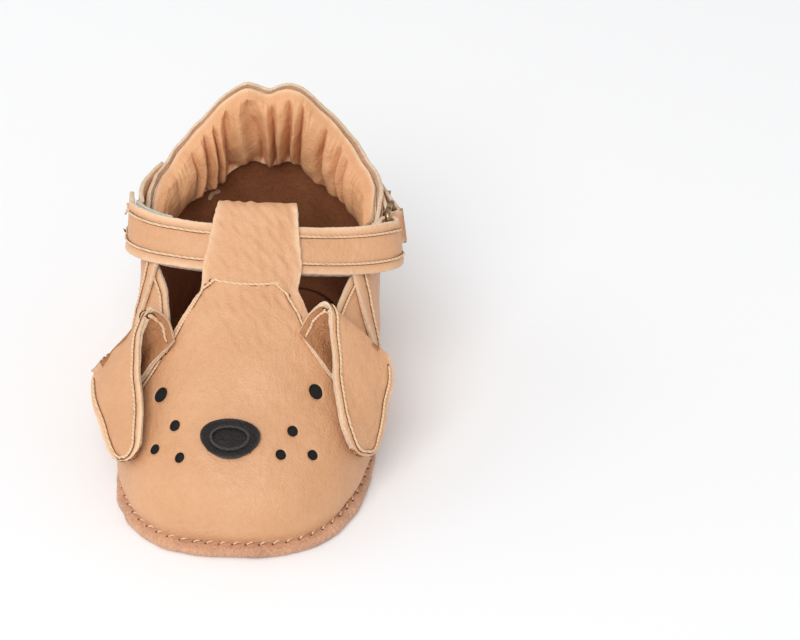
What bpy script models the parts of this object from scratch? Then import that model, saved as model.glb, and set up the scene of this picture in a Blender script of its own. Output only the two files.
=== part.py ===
"""Soft leather baby bootie with a dog's face, the left one of a pair.

Metres, +Z up, toe towards -Y, outsole on Z = 0, origin under the middle of the outsole.

Every leather piece of the upper is a panel cut from one last surface, shoe_point(theta, z). theta runs
round the foot: 0 at the toe's centre, 90 degrees at the side of the foot on +X, 180 at the heel's centre
and 270 on -X. z is the height. Layers lie on parallel surfaces, a named clearance apart.
"""

import math

import bpy
from mathutils import Matrix, Vector

MM = 0.001

# Overall sizes
LENGTH = 115 * MM  # outsole, toe to heel
TOE_WIDTH = 71 * MM  # outsole across the ball of the foot
HEEL_WIDTH = 58 * MM  # outsole across the heel
INSTEP_HEIGHT = 49 * MM  # top of the vamp, where its T-bar starts
COLLAR_HEIGHT = 73 * MM  # collar at the heel's centre
COLLAR_END_HEIGHT = 52 * MM  # collar at its two front ends
COLLAR_WIDTH = 61 * MM  # upper across the collar

# Last shape
VAMP_SLOPE = math.radians(32)  # rise of the vamp's centre line
INSTEP_SETBACK = -5.5 * MM  # Y of the vamp's centre line at the instep height
TOE_ROUNDING = 4 * MM  # softness of the turn from toe wall to vamp
BALL_Y, HEEL_Y = -22 * MM, 23 * MM  # between these the foot narrows to the heel's width
TUCK, TUCK_HEIGHT = 1.8 * MM, 6 * MM  # how the upper draws in to its seam with the sole
SIDE_BULGE = 1.2 * MM
TOE_SWING = 2.0 * MM  # how far the toe swings towards -X, as a foot's does
SWING_FROM, SWING_TO = 10 * MM, -40 * MM
HEEL_BULGE, HEEL_LEAN = 1.5 * MM, 2.5 * MM
TOE_SQUARENESS, TOP_SQUARENESS = 3.0, 2.0  # superellipse powers at the sole and from ROUND_FROM up
ROUND_FROM = 30 * MM

# Leather, layers and clearances
GAP = 0.35 * MM
SOLE_THICKNESS = 3.0 * MM
SOLE_RIM = 2.8 * MM  # how far the outsole stands out past the upper
LEATHER = 1.1 * MM
LINING = 0.9 * MM
BACKING = 0.5 * MM
INSOLE_THICKNESS = 1.2 * MM
FOAM_THICKNESS = 2.5 * MM
SOCK_THICKNESS = 0.8 * MM
BAND_THICKNESS = 2.6 * MM
BAND_DEPTH = 18 * MM
BAND_SETBACK, PANEL_DROP = 1.5 * MM, 0.3 * MM  # below the collar's edge, of the band and the heel panel
ELASTIC_WIDTH, ELASTIC_THICKNESS = 7 * MM, 0.8 * MM

# Face
NOSE_WIDTH, NOSE_HEIGHT, NOSE_THICKNESS = 15.4 * MM, 11 * MM, 1.0 * MM
NOSE_LEVEL = 25.5 * MM
BACKING_LOW, BACKING_HIGH = (52.0, 15 * MM), (41.0, 33 * MM)  # half its spread round the foot, and height

# Strap, T-bar, ring and its tab
STRAP_WIDTH = 13.5 * MM
STRAP_THICKNESS = 1.3 * MM
STRAP_LEVEL = 48 * MM  # the strap's middle at the sides of the foot
STRAP_CANT = 1.2 * MM  # how much higher than that it sits on -X, and lower on +X
STRAP_SIDE = 82.0  # theta where the strap leaves the wall to bridge the instep
STRAP_TILT = math.radians(50)  # lean of its width from upright, over the instep
STRAP_START = -128.0  # stations, in degrees round the foot from the instep: sewn end,
STRAP_BREAK = -27.0  # the fold line where the free end lifts,
STRAP_TIP = -99.0  # and the tip of the free end
TAPE_START, TAPE_END = -45.0, -75.0
TAPE_THICKNESS = 0.6 * MM
TAPE_MARGIN = 1.5 * MM
STATION_STEP = 7.5
TBAR_WIDTH = 22 * MM
TBAR_MARGIN = 3.2 * MM  # from the strap's edges to the T-bar's two bends
UNDERLAY_WIDTH = 30 * MM
UNDERLAY_DROP = 8 * MM
RING_WIRE = 1.6 * MM
RING_SPAN = 8 * MM  # between the middles of its two upright bars
RING_CORNER = 2.6 * MM
RING_PLAY = 0.6 * MM  # room round the ring's front bar in the strap's fold
TAB_WIDTH, TAB_THICKNESS = 10 * MM, 1.0 * MM
TAB_SETBACK, TAB_LENGTH = 28.0, 12.0  # degrees behind the ring's front bar, and along the wall
TAB_PLAY = 0.4 * MM
THREAD_RADIUS = 0.3 * MM

# Panel edges as (theta in degrees, height)
VAMP_SIDE = 88.0  # the vamp's side seam at the sole
VAMP_NECK = 22.0  # the vamp's edge at the instep height
THROAT_FRONT = 0.74  # share of the instep height where the vamp's edge leaves the quarter
THROAT_BACK = (88.0, 40 * MM)
COLLAR_END = 84.0
COLLAR_CURVE = 1.15  # over 1, the collar rises more steeply towards the heel's centre
HEEL_SEAM = 112.0
SEAM_GAP = 0.7  # degrees between butted panels

# Ears: rows from the sewn seam over the fold to the tip, each as inner and outer (theta, z, lift)
EAR_PLY = 0.7 * MM
EAR_FOLD_TRIM = 0.7 * MM  # from the fold line to the edge of each ply on either side of it
EAR_LINING_STEP = 2.5  # how much further back from seam and fold a deeper ply starts, per unit of depth
EAR_ROOT_ROWS = {
    "left": [
        ((42, 36, 0.5), (69, 17, 0.5)),
        ((42.5, 38.2, 2.6), (70.5, 18.6, 2.2)),
        ((45.8, 41, 7), (74, 22.8, 6.8)),
    ],
    "right": [
        ((26.5, 40.5, 0.5), (66, 19, 0.5)),
        ((29, 42.5, 2.6), (67, 22.4, 2.2)),
        ((34.5, 44.4, 7), (69.4, 28, 6.4)),
    ],
}
EAR_FLAP_ROWS = {
    "left": [
        ((48.6, 37.8, 10), (75.6, 22, 9.8)),
        ((48.6, 32, 8.6), (74.6, 19, 10)),
        ((48, 26.8, 6), (71.5, 15.4, 8)),
        ((48.5, 22.8, 4.2), (69, 12.6, 7)),
        ((52.5, 17.6, 3.6), (66, 11, 5.4)),
        ((58, 13, 3.5), (62, 11.6, 4.2)),
    ],
    "right": [
        ((39, 41.4, 10), (71, 27.2, 9.8)),
        ((40, 34.8, 7.4), (70.2, 23.8, 8.8)),
        ((41.5, 28.8, 4.6), (67.6, 20.2, 6.2)),
        ((45.5, 23.6, 3.8), (66.5, 17.6, 5.4)),
        ((51, 18.4, 3.5), (64.5, 15, 4.2)),
        ((57, 13.8, 3.4), (61.5, 13, 3.6)),
    ],
}

# Mesh densities
VAMP_COLUMNS, VAMP_ROWS = 20, 13
QUARTER_ROWS = 8
OUTLINE_POINTS = 60
EPSILON = 0.05 * MM

COLLECTION = "baby_bootie"
LEATHER_COLOR = (0.78, 0.45, 0.25)
SUEDE_COLOR = (0.62, 0.30, 0.15)
LINING_COLOR = (0.45, 0.20, 0.09)
BLACK = (0.03, 0.025, 0.022)
THREAD_COLOR = (0.75, 0.50, 0.28)
ELASTIC_COLOR = (0.85, 0.82, 0.75)
HOOK_COLOR, LOOP_COLOR = (0.75, 0.78, 0.68), (0.70, 0.66, 0.55)
BRASS_COLOR = (0.35, 0.22, 0.12)


# ---------------------------------------------------------------- last surface


def smooth(t):
    """Eases from 0 to 1."""
    t = min(1.0, max(0.0, t))
    return t * t * (3 - 2 * t)


def tuck(z):
    """How far the upper draws in towards its seam with the sole."""
    return TUCK * max(0.0, 1 - (z - SOLE_THICKNESS) / TUCK_HEIGHT) ** 2


def front_y(z):
    """Y of the toe or vamp on the centre line: a toe wall that turns softly into a straight slope."""
    wall = -LENGTH / 2 + SOLE_RIM - TUCK
    line = INSTEP_SETBACK - (INSTEP_HEIGHT - z) / math.tan(VAMP_SLOPE)
    return wall + TOE_ROUNDING * math.log1p(math.exp((line - wall) / TOE_ROUNDING)) + tuck(z)


def rear_y(z):
    """Y of the heel on the centre line, which bulges a little and leans forward at the collar."""
    share = z / COLLAR_HEIGHT
    wall = LENGTH / 2 - SOLE_RIM + TUCK
    return wall + HEEL_BULGE * math.sin(math.pi * share) - HEEL_LEAN * share**2 - tuck(z)


def middle_y(z):
    return (front_y(z) + rear_y(z)) / 2


def half_width(y, z):
    """Half the width of the outline's box at a place along the foot and a height."""
    narrowing = (TOE_WIDTH - HEEL_WIDTH) / 2 * smooth((y - BALL_Y) / (HEEL_Y - BALL_Y))
    low = TOE_WIDTH / 2 - SOLE_RIM + TUCK - narrowing
    share = min(1.0, z / COLLAR_END_HEIGHT)
    return low + (COLLAR_WIDTH / 2 - low) * smooth(share) + SIDE_BULGE * math.sin(math.pi * share) - tuck(z)


def centre_x(y):
    """The foot's centre line in plan, which swings aside towards the toe."""
    return -TOE_SWING * smooth((SWING_FROM - y) / (SWING_FROM - SWING_TO))


def squareness(z):
    """Power of the outline's superellipse at a height."""
    return TOE_SQUARENESS + (TOP_SQUARENESS - TOE_SQUARENESS) * smooth(z / ROUND_FROM)


def field(point):
    """1 on the last surface, more outside it."""
    middle = middle_y(point.z)
    reach = middle - front_y(point.z) if point.y < middle else rear_y(point.z) - middle
    power = squareness(point.z)
    across = abs((point.x - centre_x(point.y)) / half_width(point.y, point.z))
    return across**power + abs((point.y - middle) / reach) ** power


def surface_normal(point):
    steps = [Vector(axis) * EPSILON for axis in ((1, 0, 0), (0, 1, 0), (0, 0, 1))]
    return Vector([field(point + step) - field(point - step) for step in steps]).normalized()


def shoe_point(theta, z, offset=0.0):
    """The point of the last surface at theta degrees and height z, moved out along its normal by offset."""
    angle = math.radians(theta)
    cosine, sine = math.cos(angle), math.sin(angle)
    power = 2 / squareness(z)
    middle = middle_y(z)
    reach = middle - front_y(z) if cosine > 0 else rear_y(z) - middle
    y = middle - reach * math.copysign(abs(cosine) ** power, cosine)
    x = half_width(y, z) * math.copysign(abs(sine) ** power, sine)
    point = Vector((x + centre_x(y), y, z))
    return point + surface_normal(point) * offset


def theta_at_x(x, z):
    """The angle in the front half of the outline at height z whose point lies x from the centre line."""
    low, high = 0.0, 90.0
    for _ in range(30):
        middle = (low + high) / 2
        point = shoe_point(middle, z)
        if point.x - centre_x(point.y) < abs(x):
            low = middle
        else:
            high = middle
    return math.copysign(low, x)


def collar_height(theta):
    """Height of the collar's edge at theta, between its front ends."""
    share = 1 - abs(theta - 180) / (180 - COLLAR_END)
    rise = max(0.0, share) ** COLLAR_CURVE
    return COLLAR_END_HEIGHT + (COLLAR_HEIGHT - COLLAR_END_HEIGHT) * rise


# ---------------------------------------------------------------- building pieces


def clear_scene():
    for old in list(bpy.data.objects):
        bpy.data.objects.remove(old, do_unlink=True)


def finish(name, color, roughness, metallic=0.0):
    """A material of the piece's own."""
    material = bpy.data.materials.new(name)
    material.use_nodes = True
    shader = material.node_tree.nodes["Principled BSDF"]
    shader.inputs["Base Color"].default_value = (*color, 1)
    shader.inputs["Roughness"].default_value = roughness
    shader.inputs["Metallic"].default_value = metallic
    return material


def add_object(name, data, color, roughness=0.6, metallic=0.0):
    piece = bpy.data.objects.new(name, data)
    data.materials.append(finish(name, color, roughness, metallic))
    bpy.data.collections[COLLECTION].objects.link(piece)
    return piece


def sheet(name, rows, thickness, color, roughness=0.6):
    """A cut of leather: an open grid of points, thickened towards its back."""
    columns = len(rows[0])
    faces = [
        (i * columns + j, i * columns + j + 1, (i + 1) * columns + j + 1, (i + 1) * columns + j)
        for i in range(len(rows) - 1)
        for j in range(columns - 1)
    ]
    mesh = bpy.data.meshes.new(name)
    mesh.from_pydata([point for row in rows for point in row], [], faces)
    mesh.shade_smooth()
    piece = add_object(name, mesh, color, roughness)
    solid = piece.modifiers.new("Thickness", "SOLIDIFY")
    solid.thickness = thickness
    solid.offset = -1
    solid.use_even_offset = True
    solid.use_quality_normals = True
    return piece


def panel_rows(bottom, top, columns, rows, offset):
    """Rows of points between two edges, each edge a function of 0..1 that gives (theta, z)."""
    grid = []
    for i in range(rows + 1):
        share = i / rows
        row = []
        for j in range(columns + 1):
            theta_low, z_low = bottom(j / columns)
            theta_high, z_high = top(j / columns)
            theta = theta_low + (theta_high - theta_low) * share
            row.append(shoe_point(theta, z_low + (z_high - z_low) * share, offset))
        grid.append(row)
    return grid


def spread(half, z):
    """A level edge across the toe, half degrees to each side."""
    return along([(0, -half, z), (1, half, z)])


def along(knots):
    """A function of 0..1 through knots (share, theta, z), straight between them."""

    def edge(share):
        for (s0, theta0, z0), (s1, theta1, z1) in zip(knots, knots[1:]):
            if share <= s1:
                part = (share - s0) / (s1 - s0)
                return theta0 + (theta1 - theta0) * part, z0 + (z1 - z0) * part
        return knots[-1][1:]

    return edge


def mirrored(edge):
    """The same edge on the other side of the foot, still running towards larger theta."""

    def other(share):
        theta, z = edge(1 - share)
        return 360 - theta, z

    return other


def plate(name, outline, low, thickness, color, roughness=0.8):
    """A flat piece cut to an outline of (x, y) points."""
    curve = bpy.data.curves.new(name, "CURVE")
    curve.dimensions = "2D"
    curve.fill_mode = "BOTH"
    curve.extrude = thickness / 2
    spline = curve.splines.new("POLY")
    spline.points.add(len(outline) - 1)
    for point, (x, y) in zip(spline.points, outline):
        point.co = (x, y, 0, 1)
    spline.use_cyclic_u = True
    piece = add_object(name, curve, color, roughness)
    piece.location.z = low + thickness / 2
    return piece


def wire(name, points, radius, color, roughness, metallic=0.0, resolution=2):
    """A closed loop of wire or thread."""
    curve = bpy.data.curves.new(name, "CURVE")
    curve.dimensions = "3D"
    curve.bevel_depth = radius
    curve.bevel_resolution = resolution
    spline = curve.splines.new("POLY")
    spline.points.add(len(points) - 1)
    for point, place in zip(spline.points, points):
        point.co = (*place, 1)
    spline.use_cyclic_u = True
    return add_object(name, curve, color, roughness, metallic)


def sole_outline(offset):
    """The upper's outline at its seam with the sole, moved out by offset in plan."""
    outline = []
    for i in range(OUTLINE_POINTS):
        point = shoe_point(i * 360 / OUTLINE_POINTS, SOLE_THICKNESS)
        normal = surface_normal(point)
        outward = Vector((normal.x, normal.y, 0)).normalized()
        outline.append((point.x + outward.x * offset, point.y + outward.y * offset))
    return outline


# ---------------------------------------------------------------- sole and footbed


def build_bottom():
    inner = -(LEATHER + GAP + BACKING + GAP + LINING + GAP)
    plate("outsole", sole_outline(SOLE_RIM), 0, SOLE_THICKNESS, SUEDE_COLOR, 0.95)
    level = SOLE_THICKNESS + GAP
    for name, thickness, color in (
        ("insole_board", INSOLE_THICKNESS, (0.6, 0.5, 0.38)),
        ("footbed_foam", FOAM_THICKNESS, (0.8, 0.78, 0.7)),
        ("sock_lining", SOCK_THICKNESS, LINING_COLOR),
    ):
        plate(name, sole_outline(inner), level, thickness, color)
        level += thickness + GAP
    height = SOLE_THICKNESS + GAP + THREAD_RADIUS
    seam = [(x, y, height) for x, y in sole_outline(SOLE_RIM / 2)]
    wire("sole_seam_thread", seam, THREAD_RADIUS, THREAD_COLOR, 0.7, resolution=1)


# ---------------------------------------------------------------- strap and T-bar


def strap_depth():
    """How deep the strap's inner face lies below the T-bar's outer face."""
    return LEATHER + 2 * (GAP + STRAP_THICKNESS)


def tbar_reach():
    """From the strap's middle line to the T-bar's bends above and below it."""
    return STRAP_WIDTH / 2 + TBAR_MARGIN


def strap_summit():
    """The strap's middle over the instep, where its inner face lies under the T-bar."""
    start = shoe_point(0, INSTEP_HEIGHT)
    up = Vector((0, math.sin(STRAP_TILT), math.cos(STRAP_TILT)))
    out = Vector((0, -up.z, up.y))
    return start + up * tbar_reach() - out * strap_depth()


def wall_point(station, rise=0.0):
    """Where the strap's inner face lies on the foot's wall: at stations 90 and more, or -90 and less."""
    theta = STRAP_SIDE + max(abs(station), 90) - 90
    level = STRAP_LEVEL - math.copysign(STRAP_CANT, station) + rise
    return shoe_point(math.copysign(theta, station), level, LEATHER + 2 * GAP)


def strap_point(station):
    """The middle of the strap's inner face: station 0 is over the instep, and from the wall at station 90
    it follows the foot's wall. Between them it bridges the opening on an ellipse."""
    side, summit = wall_point(station), strap_summit()
    if abs(station) > 90:
        return side
    angle = math.radians(abs(station))
    y = side.y + (summit.y - side.y) * math.cos(angle)
    return Vector((side.x * math.sin(angle), y, side.z + (summit.z - side.z) * math.cos(angle) ** 2))


def strap_frame(station):
    """The strap's middle there, with its unit directions up across its width and out of its face."""
    step = 0.5
    tangent = (strap_point(station + step) - strap_point(station - step)).normalized()
    wall = wall_point(station, STRAP_WIDTH / 2) - wall_point(station, -STRAP_WIDTH / 2)
    over = Vector((0, math.sin(STRAP_TILT), math.cos(STRAP_TILT)))
    up = over.lerp(wall.normalized(), smooth(abs(station) / 90))
    up = (up - tangent * up.dot(tangent)).normalized()
    return strap_point(station), up, tangent.cross(up)


def strap_rows(stations, low, high, depth):
    """Three rows across the strap's width, at depth(station) out from its inner face."""
    rows = []
    for share in (0.0, 0.5, 1.0):
        row = []
        for station in stations:
            middle, up, out = strap_frame(station)
            row.append(middle + up * (low + (high - low) * share) + out * depth(station))
        rows.append(row)
    return rows


def stations_between(start, end):
    """Both ends and every whole step between, so that the strap's layers all bend at the same places."""
    low, high = sorted((start, end))
    first, last = math.floor(low / STATION_STEP) + 1, math.ceil(high / STATION_STEP)
    line = [low, *(STATION_STEP * k for k in range(first, last)), high]
    return line if start < end else line[::-1]


def inner_gap():
    """Room between the strap's two layers at the ring."""
    return RING_WIRE + 2 * RING_PLAY


def outer_depth(station):
    """Depth of the returning layer's inner face: close over the instep, wider at the tapes and the ring."""
    near = STRAP_THICKNESS + GAP
    if station > 0:
        return near + (inner_gap() - GAP) * smooth((station - 30) / 50)
    tapes = 2 * (TAPE_THICKNESS + GAP)
    return near + tapes * smooth((abs(station) - 28) / (abs(TAPE_START) - 32))


def build_strap():
    """The strap: sewn at the left, across under the T-bar, round the ring's front bar and back."""
    half = STRAP_WIDTH / 2
    forward = stations_between(STRAP_START, 90)
    back = stations_between(90, STRAP_BREAK)
    top = []
    for share in (1.0, 0.5, 0.0):
        row = []
        for station in forward:
            middle, up, out = strap_frame(station)
            row.append(middle + up * STRAP_WIDTH * (share - 0.5))
        middle, up, out = strap_frame(90)
        turn = inner_gap() / 2 + STRAP_THICKNESS
        for i in range(1, 6):
            angle = math.pi * i / 6
            centre = middle + out * turn + up * STRAP_WIDTH * (share - 0.5)
            row.append(centre - out * turn * math.cos(angle) + out.cross(up) * -turn * math.sin(angle))
        for station in back:
            middle, up, out = strap_frame(station)
            depth = outer_depth(station) + STRAP_THICKNESS
            row.append(middle + up * STRAP_WIDTH * (share - 0.5) + out * depth)
        top.append(row)
    sheet("strap", top, STRAP_THICKNESS, LEATHER_COLOR)
    lift = stations_between(STRAP_TIP, STRAP_BREAK - 0.8)
    rows = strap_rows(lift, -half, half, lambda s: outer_depth(s) + STRAP_THICKNESS)
    place_on_axis(sheet("strap_free_end", rows, STRAP_THICKNESS, LEATHER_COLOR), *strap_hinge())
    tape = stations_between(TAPE_END, TAPE_START)
    reach = half - TAPE_MARGIN
    hook = STRAP_THICKNESS + GAP + TAPE_THICKNESS
    sheet("hook_tape", strap_rows(tape, -reach, reach, lambda station: hook), TAPE_THICKNESS, HOOK_COLOR)
    loop_rows = strap_rows(tape, -reach, reach, lambda station: outer_depth(station) - GAP)
    loop = sheet("loop_tape", loop_rows, TAPE_THICKNESS, LOOP_COLOR)
    place_on_axis(loop, *strap_hinge())


def strap_hinge():
    """A point on the free end's fold line and the line's direction, in the strap's outer face."""
    middle, up, out = strap_frame(STRAP_BREAK - 0.4)
    return middle + out * (outer_depth(STRAP_BREAK) + STRAP_THICKNESS), up


def place_on_axis(piece, origin, direction):
    """Puts the piece's origin on its joint axis, with its local Z along it."""
    turn = direction.to_track_quat("Z", "Y").to_matrix().to_4x4()
    place = Matrix.Translation(origin) @ turn
    piece.data.transform(place.inverted())
    piece.matrix_world = place


def build_ring():
    """A wire ring with two upright bars: the front one in the strap's fold, the rear one in the tab."""
    middle, up, out = strap_frame(90)
    back = up.cross(out).normalized() * -1
    if back.y < 0:
        back.negate()
    front = middle + out * (STRAP_THICKNESS + inner_gap() / 2)
    half_height = STRAP_WIDTH / 2 + RING_PLAY + RING_WIRE / 2
    points = []
    for corner, (across, high) in enumerate(((1, 1), (0, 1), (0, -1), (1, -1))):
        inside = RING_CORNER * (1 if across == 0 else -1)
        centre = front + back * (RING_SPAN * across + inside) + up * (half_height - RING_CORNER) * high
        for i in range(5):
            angle = math.pi / 2 * (corner + i / 4)
            points.append(centre + back * RING_CORNER * math.cos(angle) + up * RING_CORNER * math.sin(angle))
    axis = front + back * RING_SPAN
    ring = wire("ring", [point - axis for point in points], RING_WIRE / 2, BRASS_COLOR, 0.35, 1.0)
    ring.location = axis
    build_tab(axis, back, up, out)


def build_tab(axis, back, up, out):
    """A leather tab folded round the ring's rear bar, with both ends sewn to the wall behind it."""
    radius = RING_WIRE / 2 + TAB_PLAY + TAB_THICKNESS
    legs = [90 + TAB_SETBACK + TAB_LENGTH * i / 2 for i in range(3)]
    rows = []
    for share in (-0.5, 0.0, 0.5):
        rise = up * TAB_WIDTH * share
        row = [tab_leg(station, share, 0) for station in reversed(legs)]
        for i in range(9):
            angle = math.pi * i / 8
            row.append(axis + rise - out * radius * math.cos(angle) - back * radius * math.sin(angle))
        row += [tab_leg(station, share, 2 * TAB_THICKNESS + GAP) for station in legs]
        rows.append(row)
    sheet("ring_tab", rows, TAB_THICKNESS, LEATHER_COLOR)


def tab_leg(station, share, depth):
    """A point on one end of the tab, at a share of its width and a depth out from the strap's inner face."""
    middle, up, out = strap_frame(station)
    return middle + up * TAB_WIDTH * share + out * depth


def tbar_row(path_along, depth, width):
    """A row across the T-bar, at a distance along it from the strap's middle, depth below its outer face."""
    row = []
    for j in range(VAMP_COLUMNS + 1):
        x = width * (j / VAMP_COLUMNS - 0.5)
        station = math.degrees(math.asin(x / strap_point(90).x))
        middle, up, out = strap_frame(station)
        row.append(middle + up * path_along + out * (strap_depth() - depth))
    return row


def vamp_rows():
    """The vamp from its sole seam up to the instep, its T-bar up over the strap, and the T-bar's end
    folded back under the strap and the vamp."""
    rows = []
    for i in range(VAMP_ROWS + 1):
        share = i / VAMP_ROWS
        z = SOLE_THICKNESS + GAP + (INSTEP_HEIGHT - SOLE_THICKNESS - GAP) * share
        rows.append(vamp_row(vamp_edge(z), z))
    reach = tbar_reach()
    for share in (-0.7, -0.3, 0.1, 0.55, 1.0):
        rows.append(tbar_row(reach * share, 0, TBAR_WIDTH))
    stack = 2 * LEATHER + 3 * GAP + 2 * STRAP_THICKNESS
    for i in range(1, 6):
        angle = math.pi * i / 6
        turn = stack / 2 * math.sin(angle)
        rows.append(tbar_row(reach + turn, stack / 2 * (1 - math.cos(angle)), TBAR_WIDTH))
    for share in (1.0, 0.33, -0.33, -0.85):
        rows.append(tbar_row(reach * share, stack, TBAR_WIDTH))
    beneath = -(2 * LEATHER + GAP)
    for i in range(4):
        share = i / 3
        z = INSTEP_HEIGHT - 1.5 * MM - UNDERLAY_DROP * share
        half = (TBAR_WIDTH + (UNDERLAY_WIDTH - TBAR_WIDTH) * share) / 2
        side = theta_at_x(half, z)
        rows.append(vamp_row(side, z, beneath))
    return rows


def vamp_row(side, z, offset=0.0):
    """A row of points across the vamp at height z, out to the angle side each way."""
    return [shoe_point(side * (2 * j / VAMP_COLUMNS - 1), z, offset) for j in range(VAMP_COLUMNS + 1)]


def vamp_edge(z):
    """The vamp's side edge at height z, as theta."""
    share = (z - SOLE_THICKNESS) / (INSTEP_HEIGHT - SOLE_THICKNESS)
    return VAMP_SIDE + (VAMP_NECK - VAMP_SIDE) * share


# ---------------------------------------------------------------- upper


def build_vamp():
    sheet("vamp", vamp_rows(), LEATHER, LEATHER_COLOR, 0.5)
    low, high = SOLE_THICKNESS + GAP, INSTEP_HEIGHT - UNDERLAY_DROP - 4 * MM
    depth = -(LEATHER + GAP + BACKING + GAP)
    rows = []
    for i in range(10):
        z = low + (high - low) * i / 9
        rows.append(vamp_row(vamp_edge(z) - 2 * SEAM_GAP, z, depth))
    sheet("vamp_lining", rows, LINING, LINING_COLOR, 0.9)
    backing = panel_rows(spread(*BACKING_LOW), spread(*BACKING_HIGH), 16, 5, -(LEATHER + GAP))
    sheet("face_backing", backing, BACKING, BLACK, 0.5)
    nose = oval_rows(NOSE_WIDTH, NOSE_HEIGHT, NOSE_LEVEL, GAP + NOSE_THICKNESS)
    sheet("nose", nose, NOSE_THICKNESS, BLACK, 0.5)


def oval_rows(width, height, level, offset, cells=8):
    """A square grid drawn into an oval on the vamp, centred on the centre line at a height."""
    rows = []
    for i in range(cells + 1):
        b = 2 * i / cells - 1
        row = []
        for j in range(cells + 1):
            a = 2 * j / cells - 1
            x = a * math.sqrt(1 - b * b / 2) * width / 2
            z = level + b * math.sqrt(1 - a * a / 2) * height / 2 * math.sin(VAMP_SLOPE)
            row.append(shoe_point(theta_at_x(x, z), z, offset))
        rows.append(row)
    return rows


def quarter_edges():
    """The bottom and top edges of the right quarter, from the vamp's seam to the heel's centre."""
    low = SOLE_THICKNESS + GAP
    throat = SOLE_THICKNESS + THROAT_FRONT * (INSTEP_HEIGHT - SOLE_THICKNESS)
    knots = [
        (0, vamp_edge(throat) + SEAM_GAP, throat),
        (0.36, *THROAT_BACK),
        (0.44, COLLAR_END, COLLAR_END_HEIGHT),
    ]
    for i in range(1, 8):
        theta = COLLAR_END + (180 - SEAM_GAP - COLLAR_END) * i / 7
        knots.append((0.44 + 0.56 * i / 7, theta, collar_height(theta)))
    bottom = along([(0, VAMP_SIDE + SEAM_GAP, low), (0.44, HEEL_SEAM, low), (1, 180 - SEAM_GAP, low)])
    return bottom, along(knots)


def between(edge_low, edge_high, share):
    """The edge a share of the way from one edge to another."""

    def edge(s):
        (theta0, z0), (theta1, z1) = edge_low(s), edge_high(s)
        return theta0 + (theta1 - theta0) * share, z0 + (z1 - z0) * share

    return edge


def part_of(edge, start, end):
    return lambda share: edge(start + (end - start) * share)


def build_quarters():
    bottom, top = quarter_edges()
    behind = -(LEATHER + GAP)
    lining_top = between(bottom, top, 0.96)
    split = 0.44
    for side, flip in (("right", lambda edge: edge), ("left", mirrored)):
        panel = panel_rows(flip(bottom), flip(top), 25, QUARTER_ROWS, 0)
        sheet(f"quarter_{side}", panel, LEATHER, LEATHER_COLOR, 0.5)
        edges = [flip(part_of(edge, 0.01, split - 0.005)) for edge in (bottom, lining_top)]
        lining = panel_rows(*edges, 11, QUARTER_ROWS, behind)
        sheet(f"quarter_lining_{side}", lining, LINING, LINING_COLOR, 0.9)
    build_heel(bottom, lining_top, split, behind)


def round_the_heel(edge, start):
    """One edge from the right side, round the heel's centre to the left side."""

    def whole(share):
        if share <= 0.5:
            theta, z = edge(start + (1 - start) * 2 * share)
        else:
            theta, z = edge(start + (1 - start) * 2 * (1 - share))
            theta = 360 - theta
        return (180, z) if share == 0.5 else (theta, z)

    return whole


def build_heel(bottom, lining_top, split, behind):
    low = SOLE_THICKNESS + GAP
    over = LEATHER + GAP
    above_thread = low + 2 * THREAD_RADIUS + GAP + over / 2
    panel_low = along([(0, HEEL_SEAM, above_thread), (1, 360 - HEEL_SEAM, above_thread)])
    end = COLLAR_END + 1

    def collar(drop):
        def edge(s):
            theta = end + (360 - 2 * end) * s
            return theta, collar_height(theta) - drop(theta)

        return edge

    panel_top = collar(lambda theta: PANEL_DROP)
    sheet("heel_panel", panel_rows(panel_low, panel_top, 24, QUARTER_ROWS, over), LEATHER, LEATHER_COLOR)
    edges = [round_the_heel(edge, split + 0.005) for edge in (bottom, lining_top)]
    sheet("heel_lining", panel_rows(*edges, 24, QUARTER_ROWS, behind), LINING, LINING_COLOR, 0.9)
    depth = behind - LINING - GAP
    elastic_top = collar(lambda theta: band_drop(theta) - ELASTIC_WIDTH)
    elastic = panel_rows(collar(band_drop), elastic_top, 22, 2, depth)
    sheet("heel_elastic", elastic, ELASTIC_THICKNESS, ELASTIC_COLOR)
    inner = depth - ELASTIC_THICKNESS - GAP
    band = panel_rows(collar(band_drop), collar(lambda theta: BAND_SETBACK), 22, 4, inner)
    sheet("collar_band", band, BAND_THICKNESS, LEATHER_COLOR, 0.5)


def band_drop(theta):
    """How far the gathered band's lower edge hangs below the collar: less towards its front ends."""
    share = 1 - abs(theta - 180) / (180 - COLLAR_END)
    return BAND_DEPTH * (0.55 + 0.45 * smooth(share * 1.4))


# ---------------------------------------------------------------- ears


def ear_point(side, place):
    theta, z, lift = place
    theta = theta if side == "right" else -theta
    return shoe_point(theta, z * MM, lift * MM)


def ear_rows(side, places):
    """Rows across the ear between its inner and outer edges, crowned where the leather hangs free."""
    rows = []
    for inner, outer in places:
        start, end = ear_point(side, inner), ear_point(side, outer)
        grounded = inner[2] < 1
        row = []
        for j in range(7):
            share = j / 6
            if grounded:
                mixed = [a + (b - a) * share for a, b in zip(inner, outer)]
                row.append(ear_point(side, mixed))
            else:
                row.append(start.lerp(end, share))
        rows.append(row if side == "left" else row[::-1])
    return rows


def ear_hinge(side):
    """The two ends of the ear's fold line, in its outer face."""
    inner, outer = EAR_ROOT_ROWS[side][-1]
    return ear_point(side, inner), ear_point(side, outer)


def refined(rows, count):
    """Rows resampled along a smooth curve through each column."""
    last = len(rows) - 1
    fine = []
    for k in range(count + 1):
        place = last * k / count
        i = min(last - 1, int(place))
        t = place - i
        before, start, end, after = (rows[max(0, min(last, i + d))] for d in (-1, 0, 1, 2))
        fine.append([curve_point(a, b, c, d, t) for a, b, c, d in zip(before, start, end, after)])
    return fine


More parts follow.
